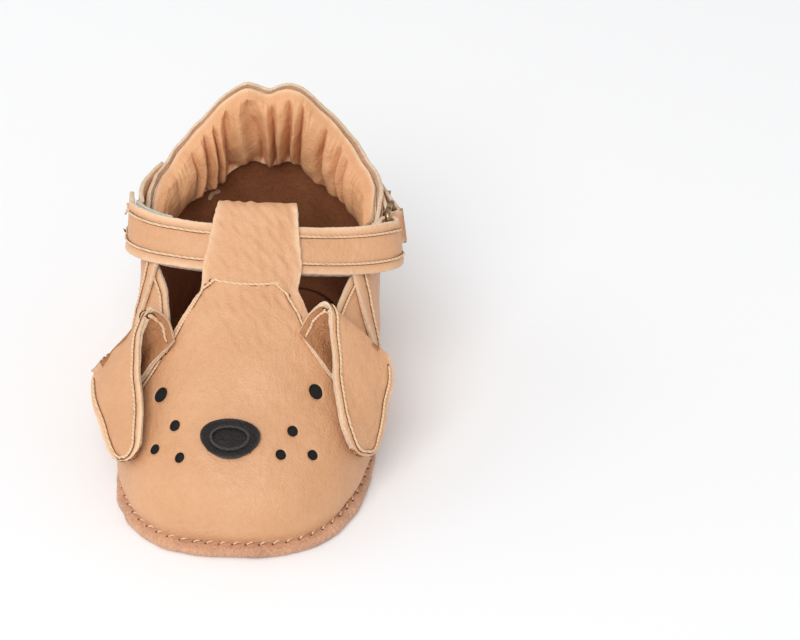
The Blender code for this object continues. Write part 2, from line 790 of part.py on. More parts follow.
def curve_point(before, start, end, after, t):
    """Catmull-Rom curve between start and end."""
    linear = (end - before) * t
    square = (before * 2 - start * 5 + end * 4 - after) * t**2
    cube = (start * 3 - before - end * 3 + after) * t**3
    return start + (linear + square + cube) * 0.5


def offset_rows(rows, distance):
    """The grid moved along its own normals, away from its front."""
    moved = []
    for i, row in enumerate(rows):
        line = []
        for j, point in enumerate(row):
            across = row[min(j + 1, len(row) - 1)] - row[max(j - 1, 0)]
            upward = rows[min(i + 1, len(rows) - 1)][j] - rows[max(i - 1, 0)][j]
            line.append(point - across.cross(upward).normalized() * distance)
        moved.append(line)
    return moved


def spaced(rows, start, stop):
    """The grid with its rows spaced evenly, cut back at its first and last rows by start and stop."""
    columns = [evenly(column, start, stop) for column in zip(*rows)]
    return [list(row) for row in zip(*columns)]


def evenly(points, start, stop):
    """The line through the points, shortened at its ends and divided into as many equal steps."""
    lengths = [(end - begin).length for begin, end in zip(points, points[1:])]
    step = (sum(lengths) - start - stop) / len(lengths)
    placed = []
    for i in range(len(points)):
        distance = start + step * i
        for k, length in enumerate(lengths):
            if distance <= length or k == len(lengths) - 1:
                break
            distance -= length
        placed.append(points[k].lerp(points[k + 1], min(1.0, distance / length)))
    return placed


def build_ear(side):
    """One ear: two plies each for the sewn root and for the flap that hangs from its fold."""
    root = EAR_ROOT_ROWS[side]
    places = root + EAR_FLAP_ROWS[side]
    whole = refined(ear_rows(side, places), 3 * (len(places) - 1))
    fold = 3 * (len(root) - 1)
    start, end = ear_hinge(side)
    for ply, depth in (("outer", 0), ("lining", EAR_PLY + GAP)):
        grid = offset_rows(whole, depth)
        trim = EAR_FOLD_TRIM + depth * EAR_LINING_STEP
        rising = spaced(grid[: fold + 1], depth * EAR_LINING_STEP, trim)
        sheet(f"ear_{side}_root_{ply}", rising, EAR_PLY, LEATHER_COLOR)
        hanging = spaced(grid[fold:], trim, 0)
        flap = sheet(f"ear_{side}_flap_{ply}", hanging, EAR_PLY, LEATHER_COLOR)
        place_on_axis(flap, start, (end - start).normalized())


def main():
    clear_scene()
    collection = bpy.data.collections.new(COLLECTION)
    bpy.context.scene.collection.children.link(collection)
    build_bottom()
    build_vamp()
    build_quarters()
    build_strap()
    build_ring()
    for side in ("left", "right"):
        build_ear(side)


main()
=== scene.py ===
"""Looks of a soft leather baby bootie with a dog's face.

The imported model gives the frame. Every visible piece is built here as a maker would cut and sew it: panels of
nappa leather with raw cut edges, seams of single stitches, a gathered collar band, two-ply ears, a suede sole
and an antiqued brass ring. Metres, +Z up, toe towards -Y. Angles round the foot are in degrees: 0 at the toe's
centre, 90 at the side on +X, 180 at the heel's centre and -90 on -X.
"""

from __future__ import annotations

import logging
import math
from dataclasses import dataclass
from enum import Enum
from typing import Sequence

import bpy
import numpy as np
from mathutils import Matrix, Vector

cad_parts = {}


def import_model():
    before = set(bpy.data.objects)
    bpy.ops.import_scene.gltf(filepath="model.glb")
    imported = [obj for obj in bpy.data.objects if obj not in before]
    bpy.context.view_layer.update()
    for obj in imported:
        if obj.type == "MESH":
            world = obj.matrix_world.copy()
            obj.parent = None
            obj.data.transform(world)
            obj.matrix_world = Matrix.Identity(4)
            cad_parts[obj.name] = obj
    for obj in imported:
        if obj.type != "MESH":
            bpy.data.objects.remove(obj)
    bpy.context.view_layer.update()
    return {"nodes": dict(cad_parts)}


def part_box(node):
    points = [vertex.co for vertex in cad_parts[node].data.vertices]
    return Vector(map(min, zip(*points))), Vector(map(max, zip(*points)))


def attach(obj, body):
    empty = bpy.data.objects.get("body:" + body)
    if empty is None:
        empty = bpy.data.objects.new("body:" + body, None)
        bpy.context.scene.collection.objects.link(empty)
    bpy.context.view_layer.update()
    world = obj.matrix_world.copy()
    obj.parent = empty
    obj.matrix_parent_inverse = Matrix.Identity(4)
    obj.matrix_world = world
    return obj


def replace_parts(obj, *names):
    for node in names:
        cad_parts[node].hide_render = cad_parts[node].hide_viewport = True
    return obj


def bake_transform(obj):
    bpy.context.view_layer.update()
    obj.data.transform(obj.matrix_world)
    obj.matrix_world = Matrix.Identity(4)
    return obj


LOG = logging.getLogger("bootie")
MM = 0.001
Array = np.ndarray
Color = tuple[float, float, float]
Tree = bpy.types.NodeTree
Node = bpy.types.Node
Piece = bpy.types.Object


class Side(Enum):
    """A side of the foot, with its sign along X."""

    LEFT = -1
    RIGHT = 1

    @property
    def word(self) -> str:
        """The side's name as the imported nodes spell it."""
        return self.name.lower()


# ---------------------------------------------------------------- small helpers


def ease(t: Array | float) -> Array | float:
    """Eases from 0 to 1 and stays flat outside that range."""
    t = np.clip(t, 0.0, 1.0)
    return t * t * (3 - 2 * t)


def unit(v: Array) -> Array:
    """Vectors scaled to length 1 along their last axis."""
    return v / np.maximum(np.linalg.norm(v, axis=-1, keepdims=True), 1e-12)


def curve_through(knots: Sequence[tuple[float, ...]], at: Array) -> Array:
    """Smooth curves through knots.

    Args:
        knots: Tuples whose first value is the place and whose others are the values there.
        at: Places to read the curves at.

    Returns:
        One row of values for each place.
    """
    table = np.array(knots, float)
    place = np.interp(at, table[:, 0], np.arange(len(table)))
    return spline_rows(table[:, 1:], place)


def spline_rows(rows: Array, place: Array) -> Array:
    """Catmull-Rom interpolation between the rows of an array.

    Args:
        rows: Array whose first axis is followed.
        place: Row numbers, with fractions, to read at.

    Returns:
        The interpolated rows.
    """
    last = len(rows) - 1
    i = np.clip(np.floor(place).astype(int), 0, last - 1)
    t = (place - i).reshape((-1,) + (1,) * (rows.ndim - 1))
    a, b, c, d = (rows[np.clip(i + k, 0, last)] for k in (-1, 0, 1, 2))
    return b + 0.5 * ((c - a) * t + (2 * a - 5 * b + 4 * c - d) * t**2 + (3 * b - a - 3 * c + d) * t**3)


def refine(grid: Array, rows: int, columns: int) -> Array:
    """A smooth finer grid through a coarse one."""
    fine = spline_rows(grid, np.linspace(0, len(grid) - 1, rows))
    fine = spline_rows(fine.transpose(1, 0, 2), np.linspace(0, grid.shape[1] - 1, columns))
    return fine.transpose(1, 0, 2)


def grid_normals(grid: Array) -> Array:
    """Unit normals of a grid whose rows go up and whose columns go towards larger angles."""
    return unit(np.cross(np.gradient(grid, axis=1), np.gradient(grid, axis=0)))


def ripple(points: Array, wavelength: float, seed: int) -> Array:
    """Soft irregular waves through space, about -1 to 1, the same on every run.

    Args:
        points: Array of points.
        wavelength: Rough distance between crests, in metres.
        seed: Which set of waves.

    Returns:
        One height for each point.
    """
    random = np.random.default_rng(seed)
    total = np.zeros(points.shape[:-1])
    for _ in range(7):
        direction = unit(random.normal(size=3)) * random.uniform(0.7, 1.5) * 2 * math.pi / wavelength
        total += np.sin(points @ direction + random.uniform(0, 2 * math.pi))
    return total / 3.2


def distance_to(points: Array, path: Array) -> Array:
    """Distance from each point to the nearest point of a finely divided path."""
    flat = points.reshape(-1, 3)
    found = np.empty(len(flat))
    for start in range(0, len(flat), 4096):
        part = flat[start : start + 4096]
        found[start : start + 4096] = np.sqrt(((part[:, None] - path[None]) ** 2).sum(-1).min(1))
    return found.reshape(points.shape[:-1])


def evenly(path: Array, step: float) -> Array:
    """The path divided into steps of equal length."""
    length = np.concatenate([[0], np.cumsum(np.linalg.norm(np.diff(path, axis=0), axis=1))])
    count = max(2, round(length[-1] / step) + 1)
    at = np.linspace(0, length[-1], count)
    return np.stack([np.interp(at, length, path[:, k]) for k in range(path.shape[1])], -1)


# ---------------------------------------------------------------- shared shader effects


class Effects:
    """Effects that several materials use, each one shader node group that is built once."""

    made: dict[str, Tree] = {}

    @classmethod
    def group(cls, name: str, inputs: dict[str, float], outputs: Sequence[str]) -> tuple[Tree, bool]:
        """Finds or starts a group.

        Args:
            name: The group's name.
            inputs: Value sockets and their defaults.
            outputs: Value outputs.

        Returns:
            The group, and whether it is new and still has to be filled.
        """
        if name in cls.made:
            return cls.made[name], False
        tree = bpy.data.node_groups.new(name, "ShaderNodeTree")
        for word, value in inputs.items():
            tree.interface.new_socket(word, in_out="INPUT", socket_type="NodeSocketFloat").default_value = value
        for word in outputs:
            tree.interface.new_socket(word, in_out="OUTPUT", socket_type="NodeSocketFloat")
        tree.nodes.new("NodeGroupInput")
        tree.nodes.new("NodeGroupOutput")
        cls.made[name] = tree
        return tree, True

    @staticmethod
    def math(tree: Tree, operation: str, a: object, b: object = None, c: object = None) -> object:
        """A Math node on sockets or numbers.

        Args:
            tree: The node tree it goes in.
            operation: Blender's name for the operation.
            a: First value, a socket or a number.
            b: Second value.
            c: Third value.

        Returns:
            The node's output socket.
        """
        node = tree.nodes.new("ShaderNodeMath")
        node.operation = operation
        for socket, value in zip(node.inputs, (a, b, c)):
            if isinstance(value, bpy.types.NodeSocket):
                tree.links.new(value, socket)
            elif value is not None:
                socket.default_value = value
        return node.outputs[0]

    @staticmethod
    def noise(
        tree: Tree, scale: float, detail: float = 3.0, warp: float = 0.0, stretch: Color = (1, 1, 1)
    ) -> object:
        """A noise texture in the piece's own coordinates.

        Args:
            tree: The node tree it goes in.
            scale: Features per metre.
            detail: Octaves.
            warp: Distortion.
            stretch: Scale along each axis.

        Returns:
            The noise value's socket.
        """
        place = tree.nodes.new("ShaderNodeTexCoord")
        turn = tree.nodes.new("ShaderNodeMapping")
        turn.inputs["Scale"].default_value = stretch
        turn.inputs["Rotation"].default_value = (0.5, 0.35, 0.8)
        node = tree.nodes.new("ShaderNodeTexNoise")
        node.inputs["Scale"].default_value = scale
        node.inputs["Detail"].default_value = detail
        node.inputs["Distortion"].default_value = warp
        tree.links.new(place.outputs["Object"], turn.inputs["Vector"])
        tree.links.new(turn.outputs["Vector"], node.inputs["Vector"])
        return node.outputs["Fac"]

    @staticmethod
    def cells(tree: Tree, scale: float) -> object:
        """Distance to the nearest cell centre of a Voronoi texture, as pores and pebbles have it."""
        place = tree.nodes.new("ShaderNodeTexCoord")
        node = tree.nodes.new("ShaderNodeTexVoronoi")
        node.feature = "SMOOTH_F1"
        node.inputs["Scale"].default_value = scale
        node.inputs["Smoothness"].default_value = 0.4
        tree.links.new(place.outputs["Object"], node.inputs["Vector"])
        return node.outputs["Distance"]

    @classmethod
    def close(cls, tree: Tree, **values: object) -> None:
        """Joins sockets to the group's outputs by name."""
        end = next(n for n in tree.nodes if n.bl_idname == "NodeGroupOutput")
        for word, socket in values.items():
            tree.links.new(socket, end.inputs[word])

    @classmethod
    def hide(cls) -> Tree:
        """Leather's surface: pebbled grain, hair pores and drawn creases as Height, and blotches as Mottle."""
        tree, new = cls.group("Hide surface", {"Grain": 1.0, "Creases": 1.0}, ("Height", "Mottle"))
        if new:
            start = next(n for n in tree.nodes if n.bl_idname == "NodeGroupInput")
            pebbles = cls.math(tree, "MULTIPLY", cls.cells(tree, 1900), 0.55)
            fine = cls.math(tree, "MULTIPLY", cls.noise(tree, 1500, 4), 0.7)
            grain = cls.math(tree, "MULTIPLY", cls.math(tree, "ADD", pebbles, fine), start.outputs["Grain"])
            drawn = cls.noise(tree, 260, 5, 0.6, (1.0, 0.35, 0.8))
            ridged = cls.math(tree, "ABSOLUTE", cls.math(tree, "SUBTRACT", drawn, 0.5))
            steep = cls.math(tree, "MULTIPLY", ridged, 5.0)
            creases = cls.math(tree, "MULTIPLY", steep, start.outputs["Creases"])
            cls.close(tree, Height=cls.math(tree, "ADD", grain, creases))
            blotch = cls.math(tree, "MULTIPLY", cls.noise(tree, 55, 4, 0.3), 0.65)
            speck = cls.math(tree, "MULTIPLY", cls.noise(tree, 700, 3), 0.35)
            cls.close(tree, Mottle=cls.math(tree, "ADD", blotch, speck))
        return tree

    @classmethod
    def nap(cls) -> Tree:
        """Brushed fibres of suede, felt or a cut edge: tufts as Height and light and dark fibres as Shade."""
        tree, new = cls.group("Nap", {"Tufts": 1.0}, ("Height", "Shade"))
        if new:
            start = next(n for n in tree.nodes if n.bl_idname == "NodeGroupInput")
            tufts = cls.noise(tree, 1300, 6, 0.8)
            crumbs = cls.cells(tree, 900)
            rough = cls.math(tree, "ADD", tufts, cls.math(tree, "MULTIPLY", crumbs, 0.6))
            cls.close(tree, Height=cls.math(tree, "MULTIPLY", rough, start.outputs["Tufts"]))
            broad = cls.math(tree, "MULTIPLY", cls.noise(tree, 120, 3), 0.4)
            cls.close(tree, Shade=cls.math(tree, "ADD", broad, cls.math(tree, "MULTIPLY", tufts, 0.6)))
        return tree


# ---------------------------------------------------------------- finishes


@dataclass(frozen=True)
class Finish:
    """What every finish has: a name, a main colour and a second colour that it varies towards."""

    name: str
    color: Color
    second: Color
    roughness: float = 0.5

    def material(self) -> bpy.types.Material:
        """The finish as a material, made the first time it is asked for."""
        known = bpy.data.materials.get(self.name)
        if known:
            return known
        material = bpy.data.materials.new(self.name)
        material.use_nodes = True
        shader = material.node_tree.nodes["Principled BSDF"]
        shader.inputs["Roughness"].default_value = self.roughness
        self.dress(material.node_tree, shader)
        return material

    def dress(self, tree: Tree, shader: Node) -> None:
        """Adds the finish's own nodes. Here only the plain colour."""
        shader.inputs["Base Color"].default_value = (*self.color, 1)

    def effect(self, tree: Tree, group: Tree, **values: float) -> Node:
        """Places a shared effect in this material with its own values."""
        node = tree.nodes.new("ShaderNodeGroup")
        node.node_tree = group
        for word, value in values.items():
            node.inputs[word].default_value = value
        return node

    def mix(self, tree: Tree, factor: object, a: object, b: object) -> object:
        """A colour between a and b, each a colour or a socket.

        Args:
            tree: The material's node tree.
            factor: Socket that mixes them.
            a: Colour at 0.
            b: Colour at 1.

        Returns:
            The mixed colour's socket.
        """
        node = tree.nodes.new("ShaderNodeMix")
        node.data_type = "RGBA"
        tree.links.new(factor, node.inputs["Factor"])
        for socket, value in ((node.inputs["A"], a), (node.inputs["B"], b)):
            colors = [s for s in node.inputs if s.name == socket.name and s.type == "RGBA"]
            if isinstance(value, bpy.types.NodeSocket):
                tree.links.new(value, colors[0])
            else:
                colors[0].default_value = (*value, 1)
        return next(s for s in node.outputs if s.type == "RGBA")

    def contrast(
        self, tree: Tree, socket: object, low: float, high: float, to: tuple[float, float] = (0, 1)
    ) -> object:
        """Stretches the part of a value between low and high over another range."""
        node = tree.nodes.new("ShaderNodeMapRange")
        node.inputs["From Min"].default_value = low
        node.inputs["From Max"].default_value = high
        node.inputs["To Min"].default_value = to[0]
        node.inputs["To Max"].default_value = to[1]
        tree.links.new(socket, node.inputs["Value"])
        return node.outputs["Result"]

    def bump(self, tree: Tree, shader: Node, height: object, depth: float) -> None:
        """Raises the surface by a height socket, depth metres at 1."""
        node = tree.nodes.new("ShaderNodeBump")
        node.inputs["Strength"].default_value = 1.0
        node.inputs["Distance"].default_value = depth
        tree.links.new(height, node.inputs["Height"])
        tree.links.new(node.outputs["Normal"], shader.inputs["Normal"])


@dataclass(frozen=True)
class Nappa(Finish):
    """Smooth dyed leather with fine grain, drawn creases, a soft sheen and paler rubbed rims."""

    grain: float = 1.0
    creases: float = 0.7
    depth: float = 0.17 * MM
    rubbed: Color = (0.84, 0.56, 0.35)
    sheen: float = 0.04
    shine: float = 0.5

    def dress(self, tree: Tree, shader: Node) -> None:
        """Colour from blotches and rubbed rims, roughness from blotches, relief from the hide effect."""
        hide = self.effect(tree, Effects.hide(), Grain=self.grain, Creases=self.creases)
        mottle = self.contrast(tree, hide.outputs["Mottle"], 0.32, 0.68)
        color = self.mix(tree, mottle, self.color, self.second)
        rim = tree.nodes.new("ShaderNodeAttribute")
        rim.attribute_name = "rim"
        patchy = self.contrast(tree, hide.outputs["Mottle"], 0.3, 0.6)
        worn = Effects.math(tree, "MULTIPLY", rim.outputs["Fac"], patchy)
        tree.links.new(self.mix(tree, worn, color, self.rubbed), shader.inputs["Base Color"])
        span = (self.roughness - 0.06, self.roughness + 0.08)
        rough = self.contrast(tree, hide.outputs["Mottle"], 0.3, 0.7, span)
        tree.links.new(rough, shader.inputs["Roughness"])
        shader.inputs["Specular IOR Level"].default_value = self.shine
        shader.inputs["Sheen Weight"].default_value = self.sheen
        shader.inputs["Sheen Roughness"].default_value = 0.4
        self.bump(tree, shader, hide.outputs["Height"], self.depth)


@dataclass(frozen=True)
class Napped(Finish):
    """Suede, raw cut edges, felt and flesh sides: matt fibres that vary in colour."""

    tufts: float = 1.0
    depth: float = 0.25 * MM
    sheen: float = 0.3

    def dress(self, tree: Tree, shader: Node) -> None:
        """Colour and relief from the nap effect."""
        nap = self.effect(tree, Effects.nap(), Tufts=self.tufts)
        shade = self.contrast(tree, nap.outputs["Shade"], 0.35, 0.62)
        tree.links.new(self.mix(tree, shade, self.second, self.color), shader.inputs["Base Color"])
        shader.inputs["Sheen Weight"].default_value = self.sheen
        shader.inputs["Sheen Roughness"].default_value = 0.84
        self.bump(tree, shader, nap.outputs["Height"], self.depth)


@dataclass(frozen=True)
class Spun(Finish):
    """Twisted sewing thread or woven tape: fine slanting ridges."""

    pitch: float = 2600.0

    def dress(self, tree: Tree, shader: Node) -> None:
        """Slanting waves for the twist, with painted shade darkening their valleys."""
        place = tree.nodes.new("ShaderNodeTexCoord")
        wave = tree.nodes.new("ShaderNodeTexWave")
        wave.bands_direction = "DIAGONAL"
        wave.inputs["Scale"].default_value = self.pitch / 6.3
        wave.inputs["Distortion"].default_value = 1.2
        tree.links.new(place.outputs["Object"], wave.inputs["Vector"])
        # The second colour in the waves' valleys is painted shade.
        twist = self.mix(tree, wave.outputs["Fac"], self.second, self.color)
        tree.links.new(twist, shader.inputs["Base Color"])
        shader.inputs["Sheen Weight"].default_value = 0.2
        self.bump(tree, shader, wave.outputs["Fac"], 0.05 * MM)


@dataclass(frozen=True)
class Antiqued(Finish):
    """Metal with a darkened skin rubbed bright in patches."""

    def dress(self, tree: Tree, shader: Node) -> None:
        """Dark patina over bright metal, with fine pitting."""
        shader.inputs["Metallic"].default_value = 1.0
        patches = self.contrast(tree, Effects.noise(tree, 420, 5, 0.5), 0.42, 0.62)
        tree.links.new(self.mix(tree, patches, self.second, self.color), shader.inputs["Base Color"])
        tree.links.new(self.contrast(tree, patches, 0, 1, (0.48, 0.24)), shader.inputs["Roughness"])
        self.bump(tree, shader, Effects.noise(tree, 2200, 3), 0.02 * MM)


TAN = Nappa("Tan nappa", (0.700, 0.382, 0.205), (0.625, 0.318, 0.155), 0.5)
# The vamp's tan leather made lighter: painted light for the shaded inside of the collar.
BAND_PAINTED_LIGHT = Nappa("Collar band nappa", (0.80, 0.43, 0.215), (0.72, 0.35, 0.165), 0.48, creases=0.9)
FACE_BLACK = Nappa(
    "Black nappa", (0.008, 0.005, 0.004), (0.016, 0.012, 0.010), 0.5,
    rubbed=(0.045, 0.036, 0.03), sheen=0.0, shine=0.22,
)
# Tan leather darkened as painted shade: the inner ply's back, seen in the hollow of the ear's fold.
EAR_INSIDE_SHADE = Nappa(
    "Ear inside nappa", (0.47, 0.215, 0.095), (0.33, 0.135, 0.055), 0.6, creases=1.0, depth=0.3 * MM, shine=0.3
)
RAW = Napped("Raw cut edge", (0.80, 0.60, 0.40), (0.62, 0.40, 0.23), 0.9)
BLACK_RAW = Napped("Black cut edge", (0.09, 0.08, 0.07), (0.035, 0.03, 0.028), 0.9, sheen=0.0)
FLESH = Napped("Flesh side", (0.66, 0.40, 0.22), (0.50, 0.27, 0.13), 0.92, depth=0.18 * MM)
SOLE_SUEDE = Napped("Sole suede", (0.70, 0.34, 0.165), (0.42, 0.175, 0.075), 0.95, tufts=1.3, depth=0.42 * MM)
LINING = Napped("Lining suede", (0.30, 0.105, 0.038), (0.20, 0.064, 0.022), 0.92, depth=0.12 * MM, sheen=0.0)
# Spun finishes: the second colour is painted shade in the valleys of the twist or weave.
THREAD = Spun("Tan thread", (0.86, 0.61, 0.39), (0.70, 0.43, 0.24), 0.6)
BLACK_THREAD = Spun("Black thread", (0.035, 0.031, 0.028), (0.014, 0.012, 0.011), 0.6)
# Dark brown painted shade for the needle holes at the stitch ends.
NEEDLE_HOLE_SHADE = Napped("Needle hole", (0.17, 0.065, 0.026), (0.11, 0.04, 0.016), 0.95, sheen=0.0)
# Near-black painted shade for looking into punched holes and the nose's needle holes.
PUNCHED_SHADE = Napped("Punched dark", (0.012, 0.010, 0.009), (0.006, 0.005, 0.005), 0.9, sheen=0.0)
TAPE = Spun("Fastening tape", (0.66, 0.69, 0.58), (0.44, 0.46, 0.38), 0.85, pitch=4200)
ELASTIC = Spun("Woven elastic", (0.80, 0.76, 0.68), (0.60, 0.56, 0.48), 0.85, pitch=3000)
BOARD = Napped("Insole board", (0.58, 0.47, 0.34), (0.45, 0.35, 0.24), 0.9)
FOAM = Napped("Footbed foam", (0.80, 0.76, 0.66), (0.66, 0.61, 0.50), 0.9)
BRASS = Antiqued("Antique brass", (0.52, 0.36, 0.20), (0.10, 0.06, 0.035), 0.35)
FLOOR = Finish("Pale floor", (0.95, 0.955, 0.965), (0.95, 0.955, 0.965), 0.8)


# ---------------------------------------------------------------- the foot form


@dataclass(frozen=True)
class Last:
    """The form that the upper is drawn over. A point of it has an angle round the foot and a height."""

    length: float = 115 * MM
    toe_width: float = 71 * MM
    heel_width: float = 58 * MM
    instep_height: float = 49 * MM
    collar_height: float = 73 * MM
    collar_end_height: float = 52 * MM
    collar_width: float = 61 * MM
    slope: float = math.radians(32)
    setback: float = -5.5 * MM
    toe_rounding: float = 4 * MM
    ball_y: float = -22 * MM
    heel_y: float = 23 * MM
    tuck: float = 1.8 * MM
    tuck_height: float = 6 * MM
    side_bulge: float = 1.2 * MM
    toe_swing: float = 2.0 * MM
    swing_from: float = 10 * MM
    swing_to: float = -40 * MM
    heel_bulge: float = 1.5 * MM
    heel_lean: float = 2.5 * MM
    sole: float = 3.0 * MM
    rim: float = 2.8 * MM
    squareness: tuple[float, float] = (3.0, 2.0)
    round_from: float = 30 * MM

    def draw_in(self, z: Array) -> Array:
        """How far the upper draws in towards its seam with the sole."""
        return self.tuck * np.maximum(0.0, 1 - (z - self.sole) / self.tuck_height) ** 2

    def front(self, z: Array) -> Array:
        """Y of the toe wall and the vamp on the centre line."""
        wall = -self.length / 2 + self.rim - self.tuck
        line = self.setback - (self.instep_height - z) / math.tan(self.slope)
        rounded = self.toe_rounding * np.log1p(np.exp((line - wall) / self.toe_rounding))
        return wall + rounded + self.draw_in(z)

    def rear(self, z: Array) -> Array:
        """Y of the heel on the centre line."""
        share = z / self.collar_height
        wall = self.length / 2 - self.rim + self.tuck
        return wall + self.heel_bulge * np.sin(np.pi * share) - self.heel_lean * share**2 - self.draw_in(z)

    def half_width(self, y: Array, z: Array) -> Array:
        """Half the width of the outline's box at a place along the foot."""
        towards_heel = ease((y - self.ball_y) / (self.heel_y - self.ball_y))
        narrowing = (self.toe_width - self.heel_width) / 2 * towards_heel
        low = self.toe_width / 2 - self.rim + self.tuck - narrowing
        share = np.minimum(1.0, z / self.collar_end_height)
        wide = low + (self.collar_width / 2 - low) * ease(share)
        return wide + self.side_bulge * np.sin(np.pi * share) - self.draw_in(z)

    def centre(self, y: Array) -> Array:
        """X of the centre line, which swings aside towards the toe."""
        return -self.toe_swing * ease((self.swing_from - y) / (self.swing_from - self.swing_to))

    def power(self, z: Array) -> Array:
        """Power of the outline's superellipse: squarer at the sole, rounder higher up."""
        low, high = self.squareness
        return low + (high - low) * ease(z / self.round_from)

    def level(self, p: Array) -> Array:
        """1 on the form's surface and more outside it."""
        x, y, z = p[..., 0], p[..., 1], p[..., 2]
        front, rear = self.front(z), self.rear(z)
        middle = (front + rear) / 2
        reach = np.where(y < middle, middle - front, rear - middle)
        k = self.power(z)
        return np.abs((x - self.centre(y)) / self.half_width(y, z)) ** k + np.abs((y - middle) / reach) ** k

    def normal(self, p: Array) -> Array:
        """Unit normals at points of the surface."""
        step = 0.05 * MM * np.eye(3)
        return unit(np.stack([self.level(p + s) - self.level(p - s) for s in step], -1))

    def point(self, theta: Array, z: Array, offset: Array | float = 0.0) -> Array:
        """Points of the surface.

        Args:
            theta: Angles round the foot, in degrees.
            z: Heights.
            offset: Distance out along the surface's normal.

        Returns:
            The points, with a last axis of 3.
        """
        theta, z, offset = np.broadcast_arrays(*(np.asarray(v, float) for v in (theta, z, offset)))
        cosine, sine = np.cos(np.radians(theta)), np.sin(np.radians(theta))
        k = 2 / self.power(z)
        front, rear = self.front(z), self.rear(z)
        middle = (front + rear) / 2
        reach = np.where(cosine > 0, middle - front, rear - middle)
        y = middle - reach * np.sign(cosine) * np.abs(cosine) ** k
        x = self.half_width(y, z) * np.sign(sine) * np.abs(sine) ** k
        p = np.stack([x + self.centre(y), y, z], -1)
        return p + self.normal(p) * offset[..., None]


LAST = Last()
LEATHER, GAP, LINING_PLY = 1.1 * MM, 0.35 * MM, 0.9 * MM
SOLE_TOP = LAST.sole
PANEL_FOOT = SOLE_TOP + GAP
VAMP_SIDE, VAMP_NECK = 88.0, 22.0  # angles of the vamp's edge at the sole and at the instep


def vamp_edge(z: Array | float) -> Array | float:
    """Angle of the vamp's side edge at a height."""
    return VAMP_SIDE + (VAMP_NECK - VAMP_SIDE) * (z - SOLE_TOP) / (LAST.instep_height - SOLE_TOP)


# ---------------------------------------------------------------- making pieces


def add_piece(
    name: str,
    verts: Array,
    faces: Sequence,
    finishes: Sequence[Finish],
    slots: Array,
    body: str | None,
    slot: str,
) -> Piece:
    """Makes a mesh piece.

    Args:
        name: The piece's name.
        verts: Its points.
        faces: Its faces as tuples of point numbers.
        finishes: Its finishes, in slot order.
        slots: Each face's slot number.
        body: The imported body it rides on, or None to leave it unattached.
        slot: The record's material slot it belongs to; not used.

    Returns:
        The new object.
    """
    mesh = bpy.data.meshes.new(name)
    mesh.from_pydata(verts.tolist(), [], [tuple(int(i) for i in f) for f in faces])
    for finish in finishes:
        mesh.materials.append(finish.material())
    mesh.polygons.foreach_set("material_index", np.asarray(slots, np.int32))
    mesh.shade_smooth()
    piece = bpy.data.objects.new(name, mesh)
    bpy.context.scene.collection.objects.link(piece)
    if body:
        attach(piece, body)
    LOG.info("%s: %d points", name, len(verts))
    return piece


